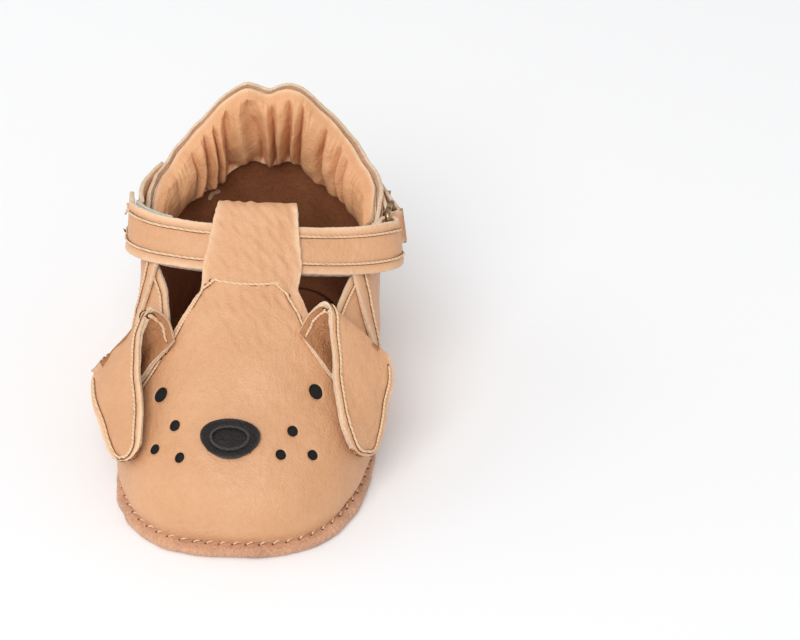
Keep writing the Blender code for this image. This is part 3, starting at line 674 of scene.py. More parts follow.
@dataclass
class Hide:
    """A cut of leather: a front surface given a thickness, with a rounded, slightly furry cut edge."""

    name: str
    front: Array
    thickness: float = LEATHER
    face: Finish = TAN
    edge: Finish = RAW
    back: Finish = FLESH
    body: str | None = "bootie"
    slot: str = "leather"
    fur: float = 0.05 * MM
    rim_width: float = 1.3 * MM
    # The floors of holes are painted near black as shade.
    punched: Array | None = None  # for each front point: 0 leather, 1 the floor of a hole
    bulge: float = 0.2

    def build(self) -> Piece:
        """Builds the piece: front, back and a rounded edge between them."""
        rows, columns = self.front.shape[:2]
        normals = grid_normals(self.front)
        back = self.front - normals * self.thickness
        index = np.arange(rows * columns).reshape(rows, columns)
        ring = np.concatenate([index[0, :-1], index[:-1, -1], index[-1, :0:-1], index[:0:-1, 0]])
        outward = self.outward().reshape(-1, 3)[ring]
        start = self.front.reshape(-1, 3)[ring]
        down = -normals.reshape(-1, 3)[ring] * self.thickness
        random = np.random.default_rng(len(self.name) * 7 + rows)
        layers = [self.front.reshape(-1, 3), back.reshape(-1, 3)]
        base = 2 * rows * columns
        for depth, reach in ((0.0, 0.0), (0.14, 0.75), (0.5, 1.0), (0.86, 0.75), (1.0, 0.0)):
            fur = random.normal(size=(len(ring), 1)) * self.fur * (reach > 0)
            layers.append(start + down * depth + outward * (reach * self.bulge * self.thickness + fur))
        quads = np.stack([index[:-1, :-1], index[:-1, 1:], index[1:, 1:], index[1:, :-1]], -1).reshape(-1, 4)
        faces = [quads, quads[:, ::-1] + rows * columns]
        slots = [self.face_slots(quads), np.full(len(quads), 2)]
        count = len(ring)
        here = np.arange(count)
        after = (here + 1) % count
        for k in range(4):
            low, high = base + k * count, base + (k + 1) * count
            faces.append(np.stack([low + after, low + here, high + here, high + after], -1))
            slots.append(np.ones(count, int))
        verts, faces = np.concatenate(layers), np.concatenate(faces)
        # The fourth slot paints shade on the floors of punched holes.
        finishes = [self.face, self.edge, self.back, PUNCHED_SHADE]
        piece = add_piece(self.name, verts, faces, finishes, np.concatenate(slots), self.body, self.slot)
        rim = piece.data.attributes.new("rim", "FLOAT", "POINT")
        values = np.zeros(len(verts))
        values[: rows * columns] = np.exp(-(((self.rim_distance()) / self.rim_width) ** 2)).ravel()
        rim.data.foreach_set("value", values)
        return piece

    def outward(self) -> Array:
        """Unit directions out of the cut, in its surface, at every border point."""
        out = np.zeros_like(self.front)
        out[0] += unit(self.front[0] - self.front[1])
        out[-1] += unit(self.front[-1] - self.front[-2])
        out[:, 0] += unit(self.front[:, 0] - self.front[:, 1])
        out[:, -1] += unit(self.front[:, -1] - self.front[:, -2])
        return unit(out)

    def rim_distance(self) -> Array:
        """Rough distance of every front point from the nearest cut edge, along rows and columns."""
        across = np.linalg.norm(np.diff(self.front, axis=1), axis=-1).cumsum(1)
        across = np.concatenate([np.zeros((len(across), 1)), across], 1)
        along = np.linalg.norm(np.diff(self.front, axis=0), axis=-1).cumsum(0)
        along = np.concatenate([np.zeros((1, along.shape[1])), along], 0)
        near = np.minimum(across, across[:, -1:] - across)
        return np.minimum(near, np.minimum(along, along[-1:] - along))

    def face_slots(self, quads: Array) -> Array:
        """Slot of each front face: the leather, or near-black painted shade on the floor of a punched hole."""
        if self.punched is None:
            return np.zeros(len(quads), int)
        inside = self.punched.ravel()[quads].sum(1)
        return np.where(inside > 0, 3, 0)


@dataclass
class Seam:
    """A row of single stitches along a path on leather."""

    path: Array
    normals: Array
    stitch: float = 2.3 * MM
    space: float = 1.15 * MM
    radius: float = 0.28 * MM
    lean: float = 0.10
    lift: float = 0.10 * MM

    def stations(self) -> tuple[Array, Array, Array]:
        """Middle, normal and direction of every stitch."""
        both = evenly(np.concatenate([self.path, self.normals], 1), self.stitch + self.space)
        ends, normals = both[:, :3], unit(both[:, 3:])
        middle = (ends[:-1] + ends[1:]) / 2
        normal = unit(normals[:-1] + normals[1:])
        along = unit(ends[1:] - ends[:-1])
        return middle, normal, unit(along + np.cross(normal, along) * self.lean)


STITCH_PROFILE = (  # place along a stitch, how fat it is there, and how far it rises
    (-0.5, 0.35, -0.35), (-0.42, 0.8, 0.1), (-0.22, 1.0, 0.75),
    (0.22, 1.0, 0.75), (0.42, 0.8, 0.1), (0.5, 0.35, -0.35),
)
THREAD_SIDES = 6


def sew(
    name: str,
    seams: Sequence[Seam],
    body: str | None = "bootie",
    thread: Finish = THREAD,
    hole: Finish = NEEDLE_HOLE_SHADE,
) -> Piece:
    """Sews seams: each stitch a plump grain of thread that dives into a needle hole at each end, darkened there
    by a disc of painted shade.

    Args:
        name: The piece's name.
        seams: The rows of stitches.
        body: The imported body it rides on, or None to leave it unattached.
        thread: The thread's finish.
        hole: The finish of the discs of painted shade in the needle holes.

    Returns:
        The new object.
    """
    sides = THREAD_SIDES
    around = np.radians(np.arange(0, 360, 360 / sides))
    verts, faces, slots, total = [], [], [], 0
    for seam in seams:
        middle, normal, along = seam.stations()
        side = np.cross(normal, along)
        rings = []
        for share, fat, rise in STITCH_PROFILE:
            core = middle + along * share * seam.stitch + normal * (seam.radius * rise + seam.lift)
            spread = side[:, None] * np.cos(around)[None, :, None] * seam.radius * fat
            height = normal[:, None] * np.sin(around)[None, :, None] * seam.radius * fat * 0.8
            rings.append(core[:, None] + spread + height)
        grain = np.stack(rings, 1)
        count = len(middle)
        quads = []
        for k in range(len(STITCH_PROFILE) - 1):
            for j in range(sides):
                low, high, after = k * sides, (k + 1) * sides, (j + 1) % sides
                quads.append((low + j, low + after, high + after, high + j))
        size = len(STITCH_PROFILE) * sides
        starts = total + np.arange(count)[:, None, None] * size
        verts.append(grain.reshape(-1, 3))
        faces.append((np.array(quads)[None] + starts).reshape(-1, 4))
        slots.append(np.zeros(count * len(quads), int))
        total += count * size
        # Each stitch end gets a dark disc, painted shade standing for the needle hole.
        for end in (-0.5, 0.5):
            centre = middle + along * end * (seam.stitch + seam.space * 0.35) + normal * 0.03 * MM
            disc = centre[:, None] + side[:, None] * (np.cos(around) * seam.radius * 1.1)[None, :, None]
            disc = disc + along[:, None] * (np.sin(around) * seam.radius * 1.1)[None, :, None]
            verts.append(disc.reshape(-1, 3))
            start = total + np.arange(count)[:, None] * sides
            faces += [start + np.array([0, 1, 2, 3]), start + np.array([0, 3, 4, 5])]
            slots.append(np.ones(2 * count, int))
            total += count * sides
    joined = np.concatenate(verts), np.concatenate(faces)
    return add_piece(name, *joined, [thread, hole], np.concatenate(slots), body, "thread")


def pressed(
    front: Array, seams: Sequence[Seam], depth: float = 0.17 * MM, width: float = 0.65 * MM
) -> Array:
    """The surface pressed in along its seams, with a slight pucker from stitch to stitch.

    Args:
        front: The surface's points.
        seams: The seams that draw it in.
        depth: Depth of the groove.
        width: Its half width.

    Returns:
        The pressed surface.
    """
    normals = grid_normals(front)
    moved = front.copy()
    for seam in seams:
        path = evenly(seam.path, 0.8 * MM)
        near = distance_to(front, path)
        pucker = 1 + 0.35 * ripple(front, 3.4 * MM, 5)
        moved = moved - normals * (depth * pucker * np.exp(-((near / width) ** 2)))[..., None]
    return moved


def on_grid(grid: Array, up: Array, across: Array) -> tuple[Array, Array]:
    """Points and normals of a grid at shares of its rows and columns.

    Args:
        grid: The grid.
        up: Shares from the first to the last row.
        across: Shares from the first to the last column.

    Returns:
        The points and their unit normals.
    """
    rows, columns = grid.shape[:2]
    both = np.concatenate([grid, grid_normals(grid)], -1)
    r = np.clip(up, 0, 1) * (rows - 1)
    c = np.clip(across, 0, 1) * (columns - 1)
    i, j = np.minimum(r.astype(int), rows - 2), np.minimum(c.astype(int), columns - 2)
    s, t = (r - i)[:, None], (c - j)[:, None]
    left = both[i, j] * (1 - s) + both[i + 1, j] * s
    right = both[i, j + 1] * (1 - s) + both[i + 1, j + 1] * s
    found = left * (1 - t) + right * t
    return found[:, :3], unit(found[:, 3:])


def row_seam(grid: Array, up: float, start: float = 0.0, end: float = 1.0, **look: float) -> Seam:
    """A seam across a grid at one share of its rows."""
    across = np.linspace(start, end, 160)
    return Seam(*on_grid(grid, np.full_like(across, up), across), **look)


def column_seam(grid: Array, across: float, start: float = 0.0, end: float = 1.0, **look: float) -> Seam:
    """A seam up a grid at one share of its columns."""
    up = np.linspace(start, end, 160)
    return Seam(*on_grid(grid, up, np.full_like(up, across)), **look)


# ---------------------------------------------------------------- sole


@dataclass
class Sole:
    """The suede outsole with its overcast seam, and the layers of the footbed inside."""

    points: int = 520
    rim: float = LAST.rim
    thickness: float = SOLE_TOP
    foot_inset: float = 3.0 * MM

    def outline(self, offset: Array | float, z: float) -> Array:
        """The upper's outline at the sole, moved out by offset in plan and set at height z."""
        theta = np.linspace(0, 360, self.points, endpoint=False)
        p = LAST.point(theta, SOLE_TOP)
        n = LAST.normal(p)
        n[:, 2] = 0
        beside = ease((np.minimum(theta, 360 - theta) - 50) / 35)
        offset = np.broadcast_to(offset, len(p))
        offset = np.where(offset > 0, offset * (1 - 0.5 * beside), offset)
        p = p + unit(n) * offset[:, None]
        p[:, 2] = z
        return p

    def disc(
        self, name: str, rings: Sequence[tuple[float, float]], finish: Finish, slot: str, wander: float
    ) -> Piece:
        """A flat piece lofted through outlines.

        Args:
            name: The piece's name.
            rings: Offset and height of each outline, from the top's middle over the edge to the underside.
            finish: Its finish.
            slot: The record's material slot.
            wander: How far its edge strays from a true cut.

        Returns:
            The new object.
        """
        lines = []
        for offset, z in rings:
            line = self.outline(offset, z)
            stray = ripple(line, 9 * MM, 3) * wander + ripple(line, 2.2 * MM, 4) * wander * 0.4
            line = self.outline(offset + stray * (offset > 0), z)
            line[:, 2] += stray * 0.4 * (0 < z < 3.2 * MM)
            lines.append(line)
        count = self.points
        verts = np.concatenate([*lines, lines[0].mean(0)[None], lines[-1].mean(0)[None]])
        here, after = np.arange(count), (np.arange(count) + 1) % count
        faces = []
        for k in range(len(lines) - 1):
            low, high = k * count, (k + 1) * count
            faces += np.stack([low + here, high + here, high + after, low + after], -1).tolist()
        top, under = len(lines) * count, len(lines) * count + 1
        faces += [(int(a), int(b), top) for a, b in zip(here, after)]
        end = (len(lines) - 1) * count
        faces += [(int(end + b), int(end + a), under) for a, b in zip(here, after)]
        return add_piece(name, verts, faces, [finish], np.zeros(len(faces)), "bootie", slot)

    def build(self) -> None:
        """Builds the outsole, its seam and the footbed."""
        rim, top = self.rim, self.thickness
        profile = [(-9 * MM, top), (-1 * MM, top), (0.8 * MM, top + 0.1 * MM), (rim - 0.6 * MM, top - 0.1 * MM)]
        profile += [(rim - 0.1 * MM, top - 0.5 * MM), (rim + 0.1 * MM, top * 0.55), (rim - 0.1 * MM, 0.6 * MM)]
        profile += [(rim - 0.7 * MM, 0.1 * MM), (rim - 2 * MM, 0.0), (-14 * MM, 0.0)]
        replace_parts(self.disc("suede_outsole", profile, SOLE_SUEDE, "suede", 0.22 * MM), "outsole")
        path = self.outline(0.5 * MM, top + 0.25 * MM)
        path = np.concatenate([path, path[:1]])
        up = np.tile(unit(np.array([0.0, 0.0, 1.0])), (len(path), 1))
        seam = Seam(path, up, stitch=1.9 * MM, space=1.5 * MM, radius=0.28 * MM, lean=0.5, lift=0.0)
        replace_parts(sew("sole_seam", [seam]), "sole_seam_thread")
        low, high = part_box("sock_lining")
        inset = -self.foot_inset
        inside = [(inset - 9 * MM, high.z + 0.3 * MM), (inset - 2 * MM, high.z)]
        inside += [(inset, low.z + 0.2 * MM), (inset - 4 * MM, low.z)]
        sock = self.disc("sock", inside, LINING, "lining", 0.0)
        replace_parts(sock, "sock_lining")


# ---------------------------------------------------------------- strap and its hardware


@dataclass
class Strap:
    """The ankle strap: sewn at the left, over the instep under the T-bar, round the ring and back."""

    width: float = 12.3 * MM
    thickness: float = 1.25 * MM
    level: float = 48 * MM
    cant: float = 1.2 * MM
    side: float = 82.0
    tilt: float = math.radians(50)
    start: float = -128.0
    fold: float = -27.4
    tip: float = -99.0
    wire: float = 1.6 * MM
    play: float = 0.8 * MM
    ring_half: float = 8.2 * MM
    span: float = 8 * MM
    tape: float = 0.4 * MM
    close: float = 0.12 * MM
    bar_margin: float = 3.8 * MM
    seam_inset: float = 2.5 * MM

    def depth(self) -> float:
        """How deep the strap's inner face lies below the T-bar's outer face."""
        return LEATHER + 2 * (GAP + self.thickness)

    def reach(self) -> float:
        """From the strap's middle line to the T-bar's bends above and below it."""
        return self.width / 2 + self.bar_margin

    def wall(self, station: Array, rise: float = 0.0) -> Array:
        """Where the strap's inner face lies on the foot's wall, for stations of 90 and more either way."""
        side = np.where(station < 0, -1.0, 1.0)
        theta = self.side + np.maximum(np.abs(station), 90) - 90
        return LAST.point(side * theta, self.level - side * self.cant + rise, LEATHER + 2 * GAP)

    def middle(self, station: Array) -> Array:
        """Middle of the strap's inner face: station 0 is over the instep, and 90 is where it meets the wall."""
        over = np.array([0, math.sin(self.tilt), math.cos(self.tilt)])
        out = np.array([0, -over[2], over[1]])
        summit = LAST.point(0.0, LAST.instep_height) + over * self.reach() - out * self.depth()
        side = self.wall(station)
        angle = np.radians(np.minimum(np.abs(station), 90))
        x = side[..., 0] * np.sin(angle)
        y = side[..., 1] + (summit[1] - side[..., 1]) * np.cos(angle)
        z = side[..., 2] + (summit[2] - side[..., 2]) * np.cos(angle) ** 2
        return np.where((np.abs(station) > 90)[..., None], side, np.stack([x, y, z], -1))

    def frame(self, station: Array | float) -> tuple[Array, Array, Array]:
        """Middle, unit direction up across the width and unit direction out, at stations."""
        station = np.atleast_1d(np.asarray(station, float))
        tangent = unit(self.middle(station + 0.5) - self.middle(station - 0.5))
        wall = unit(self.wall(station, self.width / 2) - self.wall(station, -self.width / 2))
        over = np.array([0, math.sin(self.tilt), math.cos(self.tilt)])
        share = ease(np.abs(station) / 90)[:, None]
        up = over * (1 - share) + wall * share
        up = unit(up - tangent * (up * tangent).sum(-1, keepdims=True))
        return self.middle(station), up, np.cross(tangent, up)

    def gap_at_ring(self) -> float:
        """Room between the strap's layers at the ring."""
        return self.wire + 2 * self.play

    def outer(self, station: Array) -> Array:
        """Depth of the returning layer's inner face."""
        near = self.thickness + GAP
        right = near + (self.gap_at_ring() - GAP) * ease((station - 30) / 50)
        left = self.thickness + self.close + (GAP - self.close) * ease((60 + station) / 25)
        left = left + 2 * (self.tape + self.close) * ease((np.abs(station) - 28) / (45 - 32))
        return np.where(station > 0, right, left)

    def ribbon(self, stations: Array, depth: Array, low: float, high: float, across: int = 15) -> Array:
        """Grid across the strap's width, at a depth out from its inner face."""
        middle, up, out = self.frame(stations)
        share = np.linspace(low, high, across)[:, None, None]
        return middle[None] + up[None] * share + (out * np.asarray(depth)[..., None])[None]

    def loop(self) -> Array:
        """The sewn layer, the turn round the ring and the returning layer as far as the T-bar."""
        half = self.width / 2
        forward = self.ribbon(np.linspace(self.start, 90, 120), np.zeros(120), half, -half)
        middle, up, out = (v[0] for v in self.frame(90.0))
        turn = self.gap_at_ring() / 2 + self.thickness
        angle = np.linspace(0, math.pi, 14)[1:-1]
        round_bar = -out * np.cos(angle)[:, None] + np.cross(up, out) * np.sin(angle)[:, None]
        bend = middle + out * turn + round_bar * turn
        bend = bend[None] + up * np.linspace(half, -half, 15)[:, None, None]
        back = np.linspace(90, -9, 70)
        back = self.ribbon(back, self.outer(back) + self.thickness, half, -half)
        return np.concatenate([forward, bend, back], 1)

    def worn(self, grid: Array, seed: int) -> Array:
        """The strap's leather, softened and slightly wavy."""
        return grid + grid_normals(grid) * (0.10 * MM * ripple(grid, 7 * MM, seed))[..., None]

    def edge_seams(self, stations: Array, grid_depth: Array) -> list[Seam]:
        """Rows of stitches near both edges of the outer face."""
        found = []
        for side in (-1, 1):
            middle, up, out = self.frame(stations)
            path = middle + up * side * (self.width / 2 - self.seam_inset) + out * grid_depth[:, None]
            found.append(Seam(path, out, lift=0.16 * MM))
        return found

    def build(self) -> None:
        """Builds the strap, its free end, the tapes, the ring and the ring's tab."""
        right = np.linspace(87, 21, 160)
        right_seams = self.edge_seams(right, self.outer(right) + self.thickness)
        front = pressed(self.worn(self.loop(), 21), right_seams)
        strap = Hide("strap_band", front, self.thickness, back=TAN).build()
        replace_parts(strap, "strap")
        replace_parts(sew("strap_stitches", right_seams), "strap")
        self.build_free_end()
        stations = np.linspace(-47, -90, 40)[::-1]
        reach = self.width / 2 - 1.2 * MM
        above = 1.9 * MM  # the tape peeks out over the strap's upper edge
        depth = np.full(40, self.thickness + self.close + self.tape)
        hook = self.ribbon(stations, depth, -reach, reach + above)
        piece = Hide("hook_strip", hook, self.tape, TAPE, TAPE, TAPE, slot="tape", fur=0.08 * MM).build()
        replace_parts(piece, "hook_tape")
        self.build_ring()

    def build_free_end(self) -> None:
        """The end that peels open, left unattached, and the loop tape on its own body."""
        half = self.width / 2
        stations = np.linspace(self.tip, -6, 90)
        lip = 0.5 * MM * ease((np.abs(stations) - 84) / 15)
        grid = self.ribbon(stations, self.outer(stations) + self.thickness, -half, half)
        low = np.linspace(1, 0.25, len(grid))[:, None, None]
        grid = grid + grid_normals(grid) * lip[None, :, None] * low
        left = np.linspace(self.tip + 4.5, -21, 160)
        lifted = 0.35 * MM * ease((np.abs(left) - 84) / 15)
        seams = self.edge_seams(left, self.outer(left) + self.thickness + lifted)
        grid = pressed(self.worn(grid, 22), seams)
        middle, up, out = (v[0] for v in self.frame(self.fold))
        along = np.cross(out, up)
        at = middle + out * (self.outer(np.array(self.fold)) + self.thickness)
        before, after = at - along * 0.8 * MM, at + along * 0.8 * MM
        if (self.middle(np.array([self.tip]))[0] - at) @ along < 0:
            before, after = after, before
        end = Hide("strap_end_band", grid, self.thickness, back=TAN, body=None).build()
        sewn = sew("strap_end_stitches", seams, body=None)
        for piece in (end, sewn):
            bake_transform(piece)
            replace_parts(piece, "strap_free_end")
        stations = np.linspace(-80, -46, 36)
        reach = half - 1.5 * MM
        loop = self.ribbon(stations, self.outer(stations) - self.close * 0.6, -reach, reach)
        piece = Hide("loop_strip", loop, self.tape, TAPE, TAPE, TAPE, body="strap_end", slot="tape").build()
        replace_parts(piece, "loop_tape")

    def build_ring(self) -> None:
        """The wire ring, and the leather tab folded round its rear bar."""
        middle, up, out = (v[0] for v in self.frame(90.0))
        back = np.cross(out, up)
        back = back if back[1] > 0 else -back
        front = middle + out * (self.thickness + self.gap_at_ring() / 2)
        corner, half = 2.6 * MM, self.ring_half
        path = []
        for k, (across, high) in enumerate(((1, 1), (0, 1), (0, -1), (1, -1))):
            inside = corner * (1 if across == 0 else -1)
            centre = front + back * (self.span * across + inside) + up * (half - corner) * high
            for i in range(9):
                a = math.pi / 2 * (k + i / 8)
                path.append(centre + back * corner * math.cos(a) + up * corner * math.sin(a))
        path = np.array(path + path[:1])
        path = evenly(path, 0.5 * MM)[:-1]
        tube = tube_round(path, self.wire / 2, 14, closed=True)
        ring = add_piece("ring_wire", *tube, [BRASS], np.zeros(len(tube[1])), "ring_body", "brass")
        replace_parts(ring, "ring")
        self.build_tab(front + back * self.span, back, up, out)

    def build_tab(self, axis: Array, back: Array, up: Array, out: Array) -> None:
        """The ring's tab, with both ends sewn to the wall."""
        ply, width = 1.0 * MM, 10 * MM
        radius = self.wire / 2 + 0.4 * MM + ply
        shares = np.linspace(-0.5, 0.5, 15)[:, None, None]
        legs = np.linspace(118, 133, 24)
        middle, rise, away = self.frame(legs)
        inner = (middle + away * 0.0)[None, ::-1] + rise[None, ::-1] * width * shares
        angle = np.linspace(0, math.pi, 17)[:, None]
        bend = axis - out * radius * np.cos(angle) - back * radius * np.sin(angle)
        bend = bend[None] + up * width * shares
        outer = (middle + away * (2 * ply + GAP))[None] + rise[None] * width * shares
        grid = np.concatenate([inner, bend, outer], 1)
        grid = spline_rows(grid.transpose(1, 0, 2), np.linspace(0, grid.shape[1] - 1, 120)).transpose(1, 0, 2)
        path, normal = (middle + away * (2 * ply + GAP))[8], away[8]
        line = path + rise[8] * np.linspace(-0.4, 0.4, 40)[:, None] * width
        seam = Seam(line, np.tile(normal, (40, 1)), lift=0.05 * MM)
        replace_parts(Hide("ring_loop", pressed(grid, [seam]), ply).build(), "ring_tab")
        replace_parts(sew("ring_loop_stitches", [seam]), "ring_tab")


def tube_round(path: Array, radius: float, sides: int, closed: bool) -> tuple[Array, list]:
    """A round tube along a path.

    Args:
        path: Points of its middle line.
        radius: The tube's radius.
        sides: Points round it.
        closed: Whether it joins up with itself.

    Returns:
        Its points and faces.
    """
    count = len(path)
    tangent = unit(np.roll(path, -1, 0) - np.roll(path, 1, 0))
    normal = unit(np.cross(tangent, unit(path - path.mean(0))))
    side = np.cross(tangent, normal)
    a = np.linspace(0, 2 * math.pi, sides, endpoint=False)
    ring = normal[:, None] * np.cos(a)[None, :, None] + side[:, None] * np.sin(a)[None, :, None]
    verts = (path[:, None] + ring * radius).reshape(-1, 3)
    faces = []
    for i in range(count if closed else count - 1):
        k = (i + 1) % count
        for j in range(sides):
            m = (j + 1) % sides
            faces.append((i * sides + j, i * sides + m, k * sides + m, k * sides + j))
    return verts, faces


# ---------------------------------------------------------------- vamp and face


@dataclass(frozen=True)
class Punch:
    """A punched hole in the vamp: its place on the last and its two radii."""

    theta: float
    z: float
    wide: float
    tall: float


@dataclass
class Vamp:
    """The vamp with its face, and the T-bar that folds back over the strap."""

    strap: Strap
    columns: int = 250
    rows: int = 250
    bar_width: tuple[float, float] = (23.4 * MM, 21.2 * MM)
    nose_size: tuple[float, float] = (14.7 * MM, 10.4 * MM)
    nose_place: tuple[float, float] = (-2.4 * MM, 26.2 * MM)
    nose_ply: float = 1.0 * MM
    hole_depth: float = 0.8  # share of the leather's thickness
    rim_dip: float = 0.12 * MM
    underlay: tuple[tuple[float, float, float], ...] = (  # order, angle and height in mm of the seam's corners
        (-1.0, -37.5, 36.0), (0.0, -31.5, 41.0), (1.0, -23.0, 47.2), (1.25, -17.5, 48.9), (2.0, -3.0, 48.9),
        (2.6, 12.5, 48.9), (2.9, 18.0, 47.3), (3.8, 25.2, 43.6), (4.6, 31.5, 39.0),
    )
    punches: tuple[Punch, ...] = (
        Punch(-37.2, 29.0, 1.85 * MM, 2.1 * MM),
        Punch(36.8, 30.3, 1.85 * MM, 2.1 * MM),
        Punch(-26.4, 26.2, 1.45 * MM, 1.5 * MM),
        Punch(-33.9, 21.4, 1.3 * MM, 1.4 * MM),
        Punch(-20.9, 22.2, 1.35 * MM, 1.4 * MM),
        Punch(26.0, 26.0, 1.45 * MM, 1.45 * MM),
        Punch(20.2, 23.2, 1.4 * MM, 1.4 * MM),
        Punch(34.4, 21.2, 1.4 * MM, 1.4 * MM),
    )

    def bar_row(self, along: float, depth: float, width: float) -> Array:
        """A row across the T-bar at a distance along it from the strap's middle, at a depth below its face."""
        x = width * np.linspace(-0.5, 0.5, self.columns)
        station = np.degrees(np.arcsin(x / self.strap.middle(np.array([90.0]))[0, 0]))
        middle, up, out = self.strap.frame(station)
        return middle + up * along + out * (self.strap.depth() - depth)

    def sheet(self) -> Array:
        """The whole cut, from the sole over the instep, over the strap and back under it."""
        share = np.linspace(-1, 1, self.columns)
        coarse = []
        for z in np.linspace(PANEL_FOOT - 0.3 * MM, LAST.instep_height - 1.5 * MM, 22):
            coarse.append(LAST.point(vamp_edge(z) * share, z))
        reach = self.strap.reach()
        wide, narrow = self.bar_width
        for part in (-0.55, -0.2, 0.2, 0.6, 1.0):
            coarse.append(self.bar_row(reach * part, 0, wide + (narrow - wide) * (part + 0.55) / 1.55))
        stack = 2 * LEATHER + 4 * GAP + 2 * self.strap.thickness
        for i in range(1, 6):
            angle = math.pi * i / 6
            along, depth = stack / 2 * math.sin(angle), stack / 2 * (1 - math.cos(angle))
            coarse.append(self.bar_row(reach + along, depth, narrow))
        for part in (0.95, 0.3, -0.35):
            coarse.append(self.bar_row(reach * part, stack, narrow))
        coarse = np.array(coarse)
        return spline_rows(coarse, np.linspace(0, len(coarse) - 1, self.rows))

    def seams(self) -> list[Seam]:
        """The stitched trapezoid below the T-bar and the seams along the vamp's sides."""
        table = np.array(self.underlay)
        at = np.linspace(table[0, 0], table[-1, 0], 400)
        theta, z = (np.interp(at, table[:, 0], table[:, k]) for k in (1, 2))
        top = LAST.point(theta, z * MM)
        found = [Seam(top, LAST.normal(top), stitch=2.5 * MM)]
        for side in Side:
            z = np.linspace(5 * MM, 33 * MM, 120)
            path = LAST.point(side.value * (vamp_edge(z) - 3.2), z)
            found.append(Seam(path, LAST.normal(path)))
        return found

    def oval(self, scale: float, lift: float, cells: int) -> Array:
        """A grid drawn into an oval where the nose lies."""
        b, a = np.meshgrid(np.linspace(-1, 1, cells), np.linspace(-1, 1, cells), indexing="ij")
        wide, tall = (s * scale for s in self.nose_size)
        x = a * np.sqrt(1 - b * b / 2) * wide / 2
        t = b * np.sqrt(1 - a * a / 2) * tall / 2
        return self.on_slope(x, t, lift)

    def on_slope(self, x: Array, t: Array, lift: float) -> Array:
        """Points on the vamp beside the nose's middle: x across and t up the slope."""
        z = self.nose_place[1] + t * math.sin(LAST.slope)
        probe = np.linspace(-40, 40, 801)
        flat_z = z.ravel()
        lines = LAST.point(probe[None, :], flat_z[:, None])[..., 0]
        goal = (x + self.nose_place[0]).ravel()
        theta = np.array([np.interp(g, line, probe) for g, line in zip(goal, lines)]).reshape(x.shape)
        return LAST.point(theta, z, lift)

    def punch(self, grid: Array) -> tuple[Array, Array]:
        """Sinks the punched holes into the grid and keeps their rims round.

        Args:
            grid: The vamp's front.

        Returns:
            The new front, and 1 for each point that is the floor of a hole.
        """
        floor = np.zeros(grid.shape[:2])
        normals = grid_normals(grid)
        grid = grid.copy()
        for hole in self.punches:
            centre = LAST.point(hole.theta, hole.z * MM)
            normal = LAST.normal(centre)
            wide = unit(np.cross(np.array([0, 0, 1.0]), normal))
            tall = np.cross(normal, wide)
            away = grid - centre
            a, b = away @ wide / hole.wide, away @ tall / hole.tall
            close = np.linalg.norm(away, axis=-1) < 3 * hole.tall
            radius = np.where(close, np.sqrt(a * a + b * b), 9.0)
            inside = radius < 1
            outer_rim = ~inside & spread_mask(inside)
            inner_rim = inside & spread_mask(~inside)
            for mask, goal in ((outer_rim, 1.0), (inner_rim, 0.94)):
                scale = (goal / np.maximum(radius, 1e-6) - 1)[mask]
                moved = a[mask] * scale * hole.wide, b[mask] * scale * hole.tall
                grid[mask] += moved[0][:, None] * wide + moved[1][:, None] * tall
            grid[inside] -= normals[inside] * LEATHER * self.hole_depth
            lip = close & ~inside
            grid[lip] -= (normals * (self.rim_dip * np.exp(-(((radius - 1) / 0.35) ** 2)))[..., None])[lip]
            floor[inside] = 1
        return grid, floor

    def relief(self, grid: Array) -> Array:
        """Soft unevenness of a hand-lasted upper, with drawn creases towards the T-bar."""
        high = ease((grid[..., 2] - 36 * MM) / (14 * MM))
        soft = 0.16 * MM * ripple(grid, 16 * MM, 11) + 0.05 * MM * ripple(grid, 4.5 * MM, 12)
        slanted = grid @ np.array([[1.0, 0, 0], [0.5, 0.35, 0], [0.2, 0, 0.35]])
        drawn = 0.17 * MM * high * ripple(slanted, 2.3 * MM, 13)
        return grid + grid_normals(grid) * (soft + drawn)[..., None]

    def build(self) -> None:
        """Builds the vamp, its lining, the nose and all their stitches."""
        seams = self.seams()
        grid = pressed(self.relief(self.sheet()), seams)
        grid, floor = self.punch(grid)
        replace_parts(Hide("vamp_leather", grid, punched=floor).build(), "vamp")
        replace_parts(sew("vamp_stitches", seams), "vamp")
        z = np.linspace(PANEL_FOOT + 0.5 * MM, 37 * MM, 40)[:, None]
        inner = LAST.point((vamp_edge(z) - 1.4) * np.linspace(-1, 1, 80)[None], z, -(LEATHER + 3 * GAP))
        lining = Hide("vamp_lining_suede", inner, LINING_PLY, LINING, LINING, LINING, slot="lining")
        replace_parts(lining.build(), "vamp_lining")
        self.build_nose()

    def build_nose(self) -> None:
        """The black leather nose with its stitched inner oval."""
        angle = np.linspace(0, 2 * math.pi, 200)
        wide, tall = self.nose_size
        path = self.on_slope(np.cos(angle) * wide * 0.31, np.sin(angle) * tall * 0.29, GAP + self.nose_ply)
        seam = Seam(path, LAST.normal(path), stitch=2.0 * MM, space=0.7 * MM, radius=0.27 * MM)
        front = self.oval(1.0, GAP + self.nose_ply, 61)
        front = pressed(front, [seam], 0.16 * MM, 0.7 * MM)
        looks = FACE_BLACK, BLACK_RAW, BLACK_RAW
        nose = Hide("nose_leather", front, self.nose_ply, *looks, slot="black_leather", rim_width=0.5 * MM)
        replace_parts(nose.build(), "nose")
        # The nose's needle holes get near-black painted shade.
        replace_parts(sew("nose_stitches", [seam], thread=BLACK_THREAD, hole=PUNCHED_SHADE), "nose")


def spread_mask(mask: Array) -> Array:
    """True where a grid point or one of its eight neighbours is True."""
    padded = np.pad(mask, 1)
    rows, columns = mask.shape
    return np.any([padded[i : i + rows, j : j + columns] for i in range(3) for j in range(3)], axis=0)


# ---------------------------------------------------------------- quarters, heel and collar


